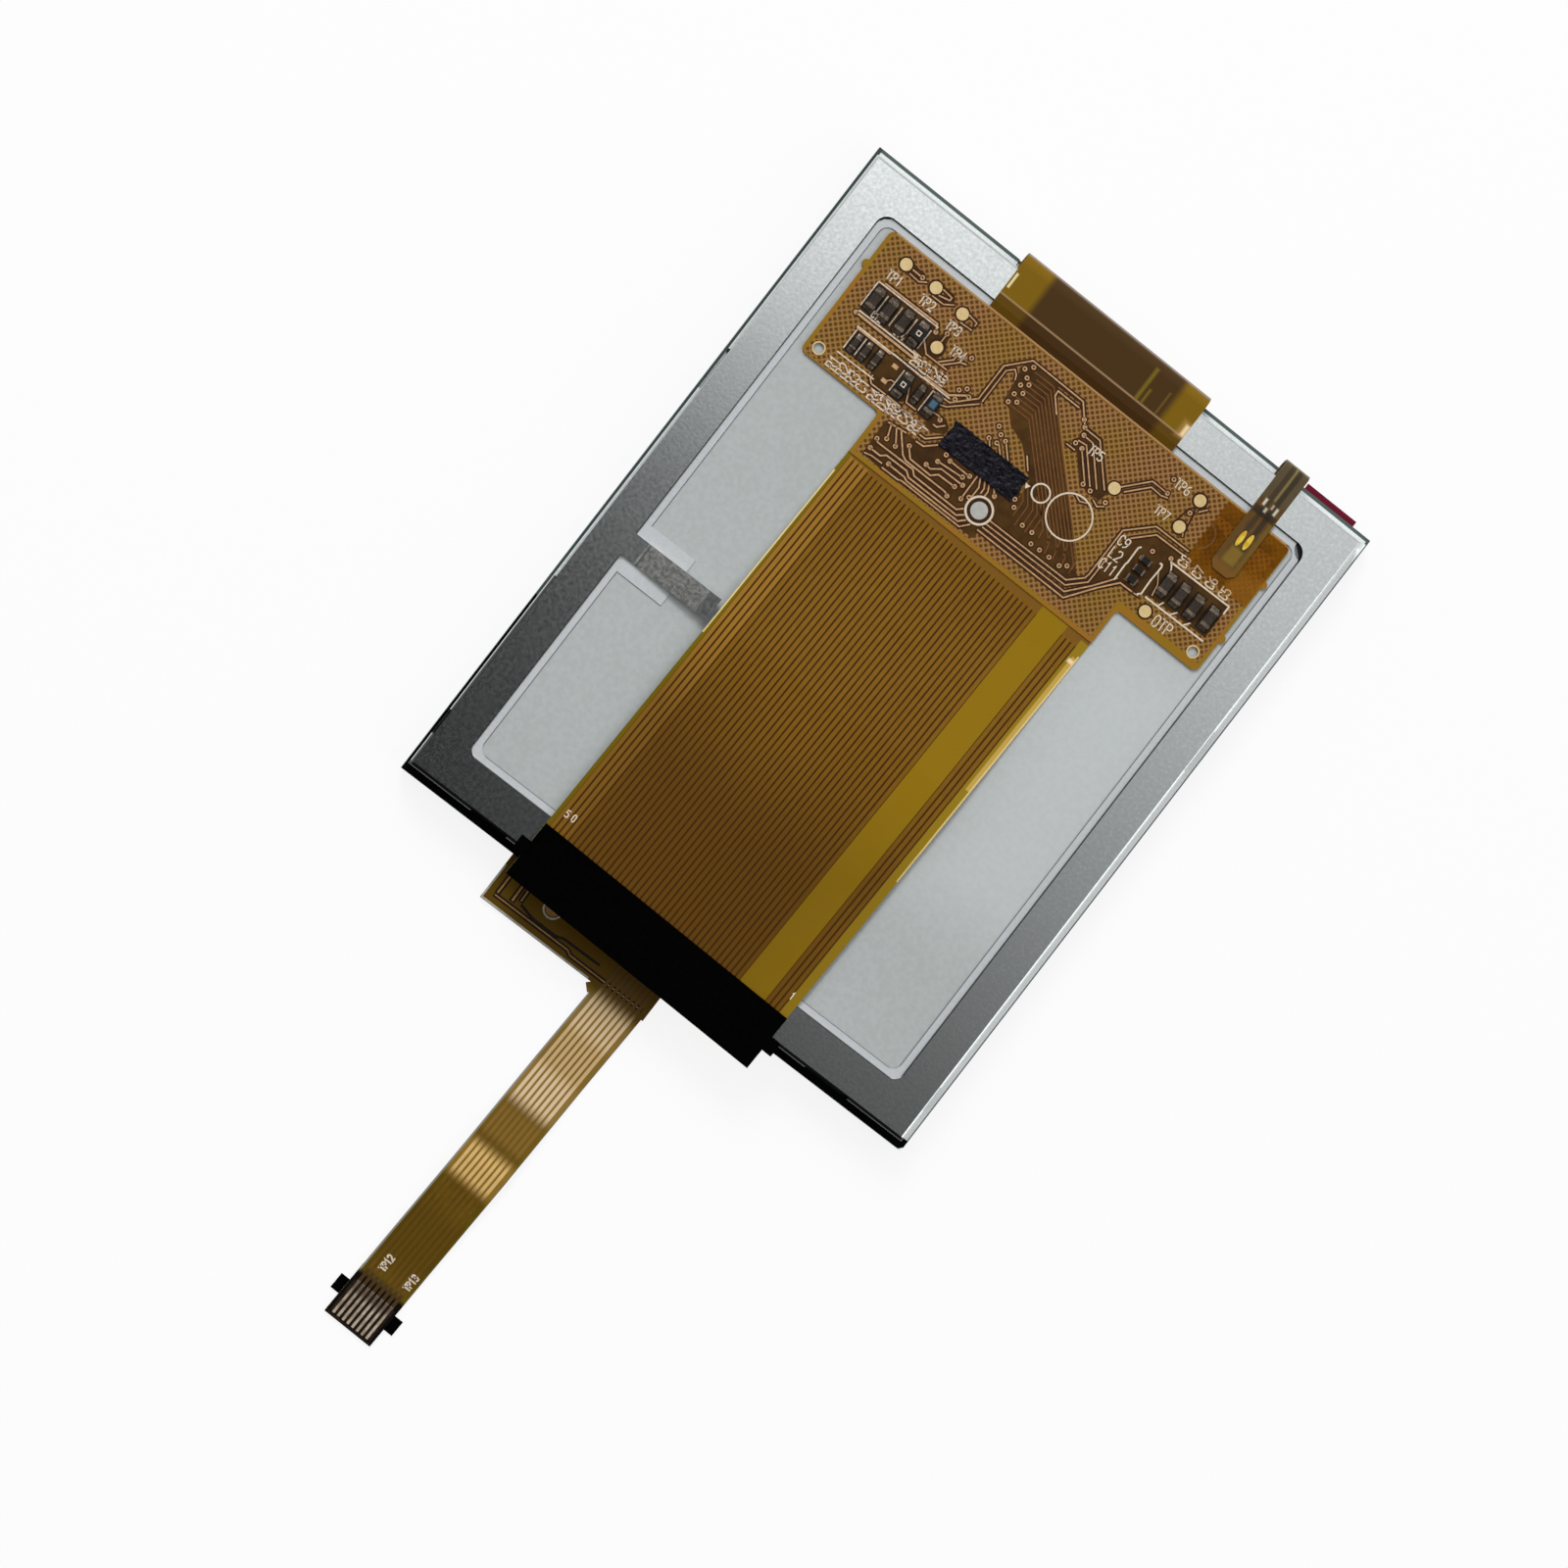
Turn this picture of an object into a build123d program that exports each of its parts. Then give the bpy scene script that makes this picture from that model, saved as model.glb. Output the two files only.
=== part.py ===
"""Small rear-lit liquid crystal display module with a resistive touch panel.

The module lies on its face. The front face is at z = 0, the metal back looks up along +Z, and
+Y points to the edge where the printed circuit film folds round to the back. X = 0 and Y = 0 are
the middle of the touch panel. Lengths are in millimetres, angles in degrees.
"""

import os
from math import cos, radians, sin, tan

from build123d import *

os.makedirs("parts", exist_ok=True)

# Touch panel, the largest outline of the module
panel_width = 52.0
panel_length = 63.9
film_inset = 0.15
protective_film_thickness = 0.10
touch_film_thickness = 0.19
spacer_thickness = 0.10
spacer_width = 2.0
touch_glass_thickness = 0.66
gasket_thickness = 0.25
gasket_inset = 0.40

# Liquid crystal cell
polariser_thickness = 0.15
glass_thickness = 0.40
cell_inset_side = 1.6
cell_inset_end = 0.95
ledge_length = 3.6
polariser_inset = 0.40
view_inset_side = 1.4
view_inset_end = 1.0
driver_chip_margin = 1.05
driver_chip_depth = 1.4
driver_chip_height = 0.30
driver_chip_gap = 0.55

# Backlight
shield_thickness = 0.06
sheet_thickness = 0.12
guide_thickness = 0.80
reflector_thickness = 0.18
lip_thickness = 0.10
cavity_inset_side = 2.2
cavity_inset_end = 1.7
lamp_space = 1.6
lip_reach = 0.65
lip_corner = 0.9
lamp_count = 6
lamp_pitch = 6.6
lamp_width = 3.8
lamp_depth = 1.0
sheet_gap = 0.10

# Black plastic frame round the cell
flange_thickness = 0.60
flange_inset = 0.05
flange_chamfer = 0.35
frame_wall = 0.50
cell_gap = 0.10

# Folded sheet metal back
metal_inset_side = 0.60
metal_inset_end = 0.90
metal_offset_x = -0.30
metal_offset_y = -0.15
metal_thickness = 0.20
metal_bend = 0.30
metal_gap = 0.05
rim_side = 3.2
rim_top = 3.3
rim_bottom = 3.5
window_corner = 1.1
tongue_width = 2.1
tongue_flat = 1.45
tongue_spring = 7.3
tongue_rise = 4.0
tongue_place = -6.35
tongue_root_radius = 0.5
tongue_rest_length = 4.6
tongue_rest_width = 4.5
snap_depth = 0.20
snap_height = 1.5
right_snaps = ((9.1, 4.0), (-26.9, 2.4))
bottom_snaps = ((17.2, 4.4), (-17.6, 3.6))

# Main printed circuit film
film_thickness = 0.12
board_layers_thickness = 0.10
bond_depth = 1.05
bridge_place = 10.0
bridge_width = 19.1
fold_reach = 0.60
board_gap_left = 1.4
board_gap_right = 1.2
board_gap_top = 0.7
left_wing_depth = 12.3
right_wing_depth = 12.9
stem_depth = 16.3
board_corner = 0.6
stem_corner = 0.4
board_step = 0.7
locating_hole_radius = 0.45
left_locating_hole = (1.16, -11.28)
right_locating_hole = (-1.23, -11.70)
edge_nub_radius = 0.35
left_nub = (0.0, -3.5)
right_nubs = ((0.0, -3.8), (0.0, -9.4))
tail_shift = -0.08
tail_width = 25.3
tail_overhang = 6.1
tail_skew = 1.5
tail_flat_start = 3.0
tail_rise = 10.0
tail_rise_lift = 0.15
tail_crest = 17.0
tail_crest_lift = 0.40
tail_flat_end = 1.0
tail_end_lift = 0.05

# Tail conductors, counted from the left edge
conductor_pitch = 0.5
conductor_width = 0.34
conductor_thickness = 0.02
first_conductor = 0.55
conductor_start = 0.5
left_conductors = 40
right_conductors = 3
right_conductor_start = 23.2
contact_count = 50
contact_width = 0.35
contact_length = 3.6
contact_thickness = 0.03

# Tail stiffener
stiffener_length = 5.2
stiffener_thickness = 0.25
ear_width = 0.9
ear_length = 1.35

# Parts on the board, placed from its top left or top right corner
pad_radius = 0.52
pad_thickness = 0.03
left_test_pads = ((2.63, -1.56), (5.69, -1.53), (8.69, -1.85), (8.69, -5.28))
right_test_pads = ((-14.61, -5.22), (-8.38, -1.64), (-8.43, -4.38), (-6.41, -11.54))
chip_length = 1.6
chip_width = 0.8
chip_height = 0.5
small_chip_length = 1.0
small_chip_width = 0.5
small_chip_height = 0.35
chip_cap_length = 0.3
chip_cap_wrap = 0.03
left_capacitors = ((2.33, -5.4), (3.75, -5.4), (5.30, -5.4))
right_capacitors = ((-6.39, -8.77), (-4.95, -8.77), (-3.44, -8.77), (-1.91, -8.77))
left_small_chips = ((3.23, -9.15), (4.30, -9.15), (5.39, -9.15), (9.81, -9.20))
left_blue_chip = (11.25, -9.18)
left_diodes = ((6.82, -5.4), (8.35, -9.43))
diode_width = 1.1
diode_length = 1.7
diode_height = 0.6
right_filter = (-8.95, -9.25)
filter_pitch = 0.95
patch_width = 7.5
patch_length = 2.45
left_patch = (17.38, -10.15)
patch_thickness = 0.08
left_disc = (19.53, -13.52)
locating_disc_radius = 0.73

# Lamp supply film and its joint to the board
lamp_film_place = 4.7
lamp_film_width = 2.4
lamp_film_reach = 5.3
lamp_film_taper = 0.5
lamp_fold_reach = 0.55
lamp_strip_margin = 2.2
lamp_strip_depth = 2.2
slot_gap = 0.20
joint_tape_width = 6.4
joint_tape_length = 6.0
right_joint_tape = (-3.27, -3.2)
joint_tape_thickness = 0.05
right_joint_pads = ((-3.85, -2.0), (-3.15, -1.9))
joint_pad_width = 0.45
joint_pad_length = 1.5
joint_pad_height = 0.06

# Touch panel film
touch_film_tail_thickness = 0.10
touch_bond_depth = 1.5
touch_block_left = -14.4
touch_block_reach = 4.45
touch_tail_left = -2.3
touch_tail_width = 4.8
touch_tail_reach = 39.35
touch_tail_lean = 2.1
touch_shoulder = 0.85
touch_flat_start = 4.0
touch_dip = 12.0
touch_crest = 22.0
touch_crest_lift = 0.70
touch_end_flat = 7.35
touch_conductors = 8
touch_conductor_width = 0.30
touch_stiffener_thickness = 0.20
touch_stiffener_length = 5.0
touch_contact_length = 3.7
touch_contact_thickness = 0.02
touch_ear_width = 0.85
touch_ear_length = 1.45

# Red pull tab of the protective film
pull_tab_place = 6.8
pull_tab_width = 5.2
pull_tab_reach = 0.85
pull_tab_hold = 3.0
pull_tab_thickness = 0.05

# Heights of the layers above the front face
touch_film_level = protective_film_thickness
spacer_level = touch_film_level + touch_film_thickness
touch_glass_level = spacer_level + spacer_thickness
gasket_level = touch_glass_level + touch_glass_thickness
cell_level = gasket_level + gasket_thickness
filter_glass_level = cell_level + polariser_thickness
array_glass_level = filter_glass_level + glass_thickness
rear_polariser_level = array_glass_level + glass_thickness
shield_level = rear_polariser_level + polariser_thickness
upper_prism_level = shield_level + shield_thickness
lower_prism_level = upper_prism_level + sheet_thickness
diffuser_level = lower_prism_level + sheet_thickness
guide_level = diffuser_level + sheet_thickness
reflector_level = guide_level + guide_thickness
lip_level = reflector_level + reflector_thickness
rim_level = lip_level + lip_thickness
back_level = rim_level + metal_thickness
flange_level = cell_level + flange_thickness
board_level = lip_level + film_thickness + board_layers_thickness

# Outlines that follow from the sizes above
metal_width = panel_width - 2 * metal_inset_side
metal_length = panel_length - 2 * metal_inset_end
metal_centre = (metal_offset_x, metal_offset_y)
metal_top = metal_offset_y + metal_length / 2
metal_bottom = metal_offset_y - metal_length / 2
metal_left = metal_offset_x - metal_width / 2
metal_right = metal_offset_x + metal_width / 2
inner_width = metal_width - 2 * (metal_thickness + metal_gap)
inner_length = metal_length - 2 * (metal_thickness + metal_gap)
housing_width = inner_width - 2 * (frame_wall + metal_gap)
housing_length = inner_length - 2 * (frame_wall + metal_gap)
window_left = metal_left + rim_side
window_right = metal_right - rim_side
window_top = metal_top - rim_top
window_bottom = metal_bottom + rim_bottom
window_centre = ((window_left + window_right) / 2, (window_bottom + window_top) / 2)
lip_opening_width = window_right - window_left - 2 * lip_reach
lip_opening_length = window_top - window_bottom - 2 * lip_reach
cell_width = metal_width - 2 * cell_inset_side
cell_length = metal_length - 2 * cell_inset_end
cell_bottom = metal_offset_y - cell_length / 2
cell_top = metal_offset_y + cell_length / 2
ledge_start = cell_top - ledge_length
filter_length = cell_length - ledge_length
filter_centre = (metal_offset_x, cell_bottom + filter_length / 2)
viewing_width = cell_width - 2 * view_inset_side
viewing_length = filter_length - 2 * view_inset_end
cavity_width = metal_width - 2 * cavity_inset_side
cavity_length = metal_length - 2 * cavity_inset_end
cavity_top = metal_offset_y + cavity_length / 2
cavity_bottom = metal_offset_y - cavity_length / 2
guide_top = cavity_top - lamp_space
guide_length = guide_top - cavity_bottom - sheet_gap
guide_centre = (metal_offset_x, cavity_bottom + sheet_gap + guide_length / 2)
lamp_strip_width = cavity_width - 2 * lamp_strip_margin
pull_tab_left = panel_width / 2 - pull_tab_place
fold_radius = (back_level - array_glass_level) / 2
fold_height = (back_level + array_glass_level) / 2
fold_centre = panel_length / 2 + fold_reach - fold_radius - film_thickness
lamp_fold_radius = (back_level - guide_level) / 2
lamp_fold_height = (back_level + guide_level) / 2
lamp_fold_centre = panel_length / 2 + lamp_fold_reach - lamp_fold_radius - sheet_thickness
touch_edge = -panel_length / 2
touch_block_bottom = touch_edge - touch_block_reach
touch_tail_end = touch_edge - touch_tail_reach
board_left = window_left + board_gap_left
board_right = window_right - board_gap_right
board_top = window_top - board_gap_top
left_wing_bottom = board_top - left_wing_depth
right_wing_bottom = board_top - right_wing_depth
stem_bottom = board_top - stem_depth
tail_middle = (board_left + board_right) / 2 + tail_shift
tail_length = stem_bottom - window_bottom + tail_overhang
bridge_left = board_left + bridge_place
driver_chip_width = bridge_width - 2 * driver_chip_margin
lamp_film_left = board_right - lamp_film_place
lamp_film_end = board_top - lamp_film_reach


def from_left(*offsets):
    """Give the places of offsets from the board's top left corner."""
    return tuple((board_left + across, board_top + along) for across, along in offsets)


def from_right(*offsets):
    """Give the places of offsets from the board's top right corner."""
    return tuple((board_right + across, board_top + along) for across, along in offsets)


# Places of the parts on the board
test_pads_at = from_left(*left_test_pads) + from_right(*right_test_pads)
large_chips = from_left(*left_capacitors) + from_right(*right_capacitors)
small_chips = from_left(*left_small_chips)
blue_chip = from_left(left_blue_chip)
diodes_at = from_left(*left_diodes)
filter_at = from_right(right_filter)
patch_at = from_left(left_patch)
locating_disc_at = from_left(left_disc)
locating_holes = from_left(left_locating_hole) + from_right(right_locating_hole)
edge_nubs = from_left(left_nub) + from_right(*right_nubs)
joint_tape_at = from_right(right_joint_tape)
joint_pads_at = from_right(*right_joint_pads)

# Side view of the tail's lower face, from the board to the free end
tail_route = (
    (stem_bottom + board_corner, lip_level),
    (stem_bottom - tail_flat_start, lip_level),
    (stem_bottom - tail_rise, lip_level + tail_rise_lift),
    (stem_bottom - tail_crest, lip_level + tail_crest_lift),
    (window_bottom + tail_flat_end, back_level + tail_end_lift),
    (stem_bottom - tail_length - board_corner, back_level + tail_end_lift),
)

# Side view of the touch film's lower face, from the bond to the free end
touch_route = (
    (touch_edge + touch_bond_depth, spacer_level),
    (touch_edge - touch_flat_start, spacer_level),
    (touch_edge - touch_dip, touch_stiffener_thickness / 2),
    (touch_edge - touch_crest, touch_crest_lift),
    (touch_tail_end + touch_end_flat, touch_stiffener_thickness),
    (touch_tail_end - touch_shoulder, touch_stiffener_thickness),
)


def film_side_view(points, rise, thickness):
    """Draw the side view of a thin film that follows points, raised by rise."""
    low = [(along, height + rise) for along, height in points]
    high = [(along, height + thickness) for along, height in low]
    with BuildLine() as view:
        Polyline(*low, *reversed(high), close=True)
    make_face(view.edges())


def folded_side_view(inner_end, centre, height, radius, thickness, points):
    """Draw the side view of a film that folds back over itself and ends along points."""
    with BuildLine() as view:
        Line((inner_end, height - radius), (centre, height - radius))
        CenterArc((centre, height), radius, -90, 180)
        Polyline((centre, height + radius), *points)
        Line(points[-1], (points[-1][0], points[-1][1] + thickness))
        over = [(along, level + thickness) for along, level in reversed(points)]
        Polyline(*over, (centre, height + radius + thickness))
        CenterArc((centre, height), radius + thickness, -90, 180)
        Line((centre, height - radius - thickness), (inner_end, height - radius - thickness))
        Line((inner_end, height - radius - thickness), (inner_end, height - radius))
    make_face(view.edges())


def chip_rows(places, length, width):
    """Draw the outlines of chips that stand lengthwise along Y."""
    with Locations(*places):
        Rectangle(width, length)


def chip_ends(places, length, width):
    """Draw the metal ends of chips that stand lengthwise along Y."""
    with Locations(*places):
        with GridLocations(1, length - chip_cap_length, 1, 2):
            Rectangle(width + 2 * chip_cap_wrap, chip_cap_length)


# Clear film that protects the face, with a pocket for the pull tab on its inner side
with BuildPart() as protective_film:
    with BuildSketch():
        Rectangle(panel_width - 2 * film_inset, panel_length - 2 * film_inset)
    extrude(amount=protective_film_thickness)
    with BuildSketch(Plane.XY.offset(protective_film_thickness)):
        with Locations((pull_tab_left, panel_length / 2 - pull_tab_hold)):
            Rectangle(pull_tab_width, 2 * pull_tab_hold, align=(Align.MIN, Align.MIN))
    extrude(amount=-pull_tab_thickness, mode=Mode.SUBTRACT)
protective_film.part.label = "protective_film"
export_step(protective_film.part, "parts/protective_film.step")

# Red tab that sticks out at the top right corner
with BuildPart() as pull_tab:
    with BuildSketch(Plane.XY.offset(protective_film_thickness - pull_tab_thickness)):
        with Locations((pull_tab_left, panel_length / 2 - pull_tab_hold)):
            Rectangle(pull_tab_width, pull_tab_hold + pull_tab_reach, align=(Align.MIN, Align.MIN))
    extrude(amount=pull_tab_thickness)
pull_tab.part.label = "pull_tab"
export_step(pull_tab.part, "parts/pull_tab.step")

# Flexible upper sheet of the touch panel
with BuildPart() as touch_film:
    with BuildSketch(Plane.XY.offset(touch_film_level)):
        Rectangle(panel_width - 2 * film_inset, panel_length - 2 * film_inset)
    extrude(amount=touch_film_thickness)
touch_film.part.label = "touch_film"
export_step(touch_film.part, "parts/touch_film.step")

# Adhesive ring that keeps the film off the glass, open where the touch film's tail is bonded
with BuildPart() as touch_spacer:
    with BuildSketch(Plane.XY.offset(spacer_level)):
        Rectangle(panel_width - 2 * film_inset, panel_length - 2 * film_inset)
        Rectangle(
            panel_width - 2 * (film_inset + spacer_width),
            panel_length - 2 * (film_inset + spacer_width),
            mode=Mode.SUBTRACT,
        )
        with Locations((touch_block_left - slot_gap, touch_edge)):
            Rectangle(
                touch_tail_left + touch_tail_width - touch_block_left + 2 * slot_gap,
                touch_bond_depth + slot_gap,
                align=(Align.MIN, Align.MIN),
                mode=Mode.SUBTRACT,
            )
    extrude(amount=spacer_thickness)
touch_spacer.part.label = "touch_spacer"
export_step(touch_spacer.part, "parts/touch_spacer.step")

# Glass base of the touch panel
with BuildPart() as touch_glass:
    with BuildSketch(Plane.XY.offset(touch_glass_level)):
        Rectangle(panel_width, panel_length)
    extrude(amount=touch_glass_thickness)
touch_glass.part.label = "touch_glass"
export_step(touch_glass.part, "parts/touch_glass.step")

# Black adhesive foam between the touch panel and the display
with BuildPart() as panel_gasket:
    with BuildSketch(Plane.XY.offset(gasket_level)):
        Rectangle(panel_width - 2 * gasket_inset, panel_length - 2 * gasket_inset)
        with Locations(filter_centre):
            Rectangle(viewing_width, viewing_length, mode=Mode.SUBTRACT)
    extrude(amount=gasket_thickness)
panel_gasket.part.label = "panel_gasket"
export_step(panel_gasket.part, "parts/panel_gasket.step")

# Front polariser of the liquid crystal cell
with BuildPart() as front_polariser:
    with BuildSketch(Plane.XY.offset(cell_level)):
        with Locations(filter_centre):
            Rectangle(cell_width - 2 * polariser_inset, filter_length - 2 * polariser_inset)
    extrude(amount=polariser_thickness)
front_polariser.part.label = "front_polariser"
export_step(front_polariser.part, "parts/front_polariser.step")

# Colour filter glass, shorter than the array glass
with BuildPart() as colour_filter_glass:
    with BuildSketch(Plane.XY.offset(filter_glass_level)):
        with Locations(filter_centre):
            Rectangle(cell_width, filter_length)
    extrude(amount=glass_thickness)
colour_filter_glass.part.label = "colour_filter_glass"
export_step(colour_filter_glass.part, "parts/colour_filter_glass.step")

# Array glass, whose ledge carries the driver chip and the circuit film
with BuildPart() as array_glass:
    with BuildSketch(Plane.XY.offset(array_glass_level)):
        with Locations(metal_centre):
            Rectangle(cell_width, cell_length)
    extrude(amount=glass_thickness)
array_glass.part.label = "array_glass"
export_step(array_glass.part, "parts/array_glass.step")

# Driver chip on the front side of the ledge
with BuildPart() as driver_chip:
    with BuildSketch(Plane.XY.offset(array_glass_level)):
        with Locations((bridge_left + bridge_width / 2, ledge_start + driver_chip_gap)):
            Rectangle(driver_chip_width, driver_chip_depth, align=(Align.CENTER, Align.MIN))
    extrude(amount=-driver_chip_height)
driver_chip.part.label = "driver_chip"
export_step(driver_chip.part, "parts/driver_chip.step")

# Rear polariser of the cell
with BuildPart() as rear_polariser:
    with BuildSketch(Plane.XY.offset(rear_polariser_level)):
        with Locations(metal_centre):
            Rectangle(cell_width - 2 * polariser_inset, cell_length - 2 * polariser_inset)
    extrude(amount=polariser_thickness)
rear_polariser.part.label = "rear_polariser"
export_step(rear_polariser.part, "parts/rear_polariser.step")

# Black tape that joins the cell to the backlight and masks its edge
with BuildPart() as light_shield_tape:
    with BuildSketch(Plane.XY.offset(shield_level)):
        with Locations(metal_centre):
            Rectangle(housing_width, housing_length)
        with Locations(filter_centre):
            Rectangle(viewing_width, viewing_length, mode=Mode.SUBTRACT)
    extrude(amount=shield_thickness)
light_shield_tape.part.label = "light_shield_tape"
export_step(light_shield_tape.part, "parts/light_shield_tape.step")

# Two crossed prism sheets and a diffuser
with BuildPart() as upper_prism_sheet:
    with BuildSketch(Plane.XY.offset(upper_prism_level)):
        with Locations(guide_centre):
            Rectangle(cavity_width - 2 * sheet_gap, guide_length)
    extrude(amount=sheet_thickness)
upper_prism_sheet.part.label = "upper_prism_sheet"
export_step(upper_prism_sheet.part, "parts/upper_prism_sheet.step")

with BuildPart() as lower_prism_sheet:
    with BuildSketch(Plane.XY.offset(lower_prism_level)):
        with Locations(guide_centre):
            Rectangle(cavity_width - 2 * sheet_gap, guide_length)
    extrude(amount=sheet_thickness)
lower_prism_sheet.part.label = "lower_prism_sheet"
export_step(lower_prism_sheet.part, "parts/lower_prism_sheet.step")

strip_bottom = cavity_top - sheet_gap - lamp_strip_depth
with BuildPart() as diffuser_sheet:
    with BuildSketch(Plane.XY.offset(diffuser_level)):
        with Locations((metal_offset_x, cavity_bottom + sheet_gap)):
            Rectangle(
                cavity_width - 2 * sheet_gap,
                strip_bottom - cavity_bottom - 2 * sheet_gap,
                align=(Align.CENTER, Align.MIN),
            )
    extrude(amount=sheet_thickness)
diffuser_sheet.part.label = "diffuser_sheet"
export_step(diffuser_sheet.part, "parts/diffuser_sheet.step")

# Clear plate that spreads the light
with BuildPart() as light_guide:
    with BuildSketch(Plane.XY.offset(guide_level)):
        with Locations(guide_centre):
            Rectangle(cavity_width - 2 * sheet_gap, guide_length)
    extrude(amount=guide_thickness)
light_guide.part.label = "light_guide"
export_step(light_guide.part, "parts/light_guide.step")

# White sheet behind the light guide, seen through the window in the back
with BuildPart() as reflector_sheet:
    with BuildSketch(Plane.XY.offset(reflector_level)):
        with Locations(metal_centre):
            Rectangle(cavity_width - 2 * sheet_gap, cavity_length - 2 * sheet_gap)
    extrude(amount=reflector_thickness)
reflector_sheet.part.label = "reflector_sheet"
export_step(reflector_sheet.part, "parts/reflector_sheet.step")

# White housing of the backlight: a tray wall with a thin lip on its rear side
with BuildPart() as backlight_housing:
    with BuildSketch(Plane.XY.offset(upper_prism_level)):
        with Locations(metal_centre):
            RectangleRounded(housing_width, housing_length, metal_bend)
    extrude(amount=rim_level - upper_prism_level)
    with BuildSketch(Plane.XY.offset(upper_prism_level)):
        with Locations(metal_centre):
            Rectangle(cavity_width, cavity_length)
    extrude(amount=lip_level - upper_prism_level, mode=Mode.SUBTRACT)
    with BuildSketch(Plane.XY.offset(lip_level)):
        with Locations(window_centre):
            RectangleRounded(lip_opening_width, lip_opening_length, lip_corner)
        with Locations((window_centre[0] - lip_opening_width / 2, tongue_place)):
            Rectangle(
                tongue_rest_width,
                tongue_rest_length,
                align=(Align.MIN, Align.CENTER),
                mode=Mode.SUBTRACT,
            )
    extrude(amount=lip_thickness, mode=Mode.SUBTRACT)
    with BuildSketch(Plane.XY.offset(lip_level)):
        with Locations((window_right, window_top)):
            Circle(window_corner)
    extrude(amount=lip_thickness, mode=Mode.SUBTRACT)
    with BuildSketch(Plane.XY.offset(diffuser_level - sheet_gap)):
        with Locations((lamp_film_left - slot_gap, cavity_top - sheet_gap)):
            Rectangle(lamp_film_width + 2 * slot_gap, housing_length, align=(Align.MIN, Align.MIN))
    extrude(amount=sheet_thickness + 2 * sheet_gap, mode=Mode.SUBTRACT)
backlight_housing.part.label = "backlight_housing"
export_step(backlight_housing.part, "parts/backlight_housing.step")

# White light-emitting diode packages along the top edge of the light guide
with BuildPart() as lamps:
    with BuildSketch(Plane.XY.offset(guide_level)):
        with Locations((metal_offset_x, guide_top + sheet_gap + lamp_depth / 2)):
            with GridLocations(lamp_pitch, 1, lamp_count, 1):
                Rectangle(lamp_width, lamp_depth)
    extrude(amount=guide_thickness)
lamps.part.label = "lamps"
export_step(lamps.part, "parts/lamps.step")

# Black plastic frame: a flange behind the touch panel and a wall inside the metal back
with BuildPart() as panel_frame:
    with BuildSketch(Plane.XY.offset(cell_level)) as flange_outline:
        Rectangle(panel_width - 2 * flange_inset, panel_length - 2 * flange_inset)
        right_bottom = flange_outline.vertices().sort_by(Axis.Y)[0:2].sort_by(Axis.X)[-1]
        chamfer(right_bottom, length=flange_chamfer)
    extrude(amount=flange_thickness)
    with BuildSketch(Plane.XY.offset(flange_level)):
        with Locations(metal_centre):
            RectangleRounded(inner_width, inner_length, metal_bend)
    extrude(amount=rim_level - flange_level)
    with BuildSketch(Plane.XY.offset(flange_level)):
        with Locations(metal_centre):
            Rectangle(housing_width + 2 * metal_gap, housing_length + 2 * metal_gap)
    extrude(amount=rim_level - flange_level, mode=Mode.SUBTRACT)
    with BuildSketch(Plane.XY.offset(cell_level)):
        with Locations(metal_centre):
            Rectangle(cell_width + 2 * cell_gap, cell_length + 2 * cell_gap)
    extrude(amount=flange_thickness, mode=Mode.SUBTRACT)
    with BuildSketch(Plane.XY.offset(flange_level)):
        with Locations((bridge_left - slot_gap, cell_top)):
            Rectangle(bridge_width + 2 * slot_gap, ledge_length, align=(Align.MIN, Align.MIN))
    extrude(amount=-(flange_level - array_glass_level + film_thickness + slot_gap / 2), mode=Mode.SUBTRACT)
    with BuildSketch(Plane.XY.offset(diffuser_level - sheet_gap)):
        with Locations((lamp_film_left - slot_gap, cavity_top)):
            Rectangle(lamp_film_width + 2 * slot_gap, ledge_length, align=(Align.MIN, Align.MIN))
    extrude(amount=sheet_thickness + 2 * sheet_gap, mode=Mode.SUBTRACT)
panel_frame.part.label = "panel_frame"
export_step(panel_frame.part, "parts/panel_frame.step")

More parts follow.
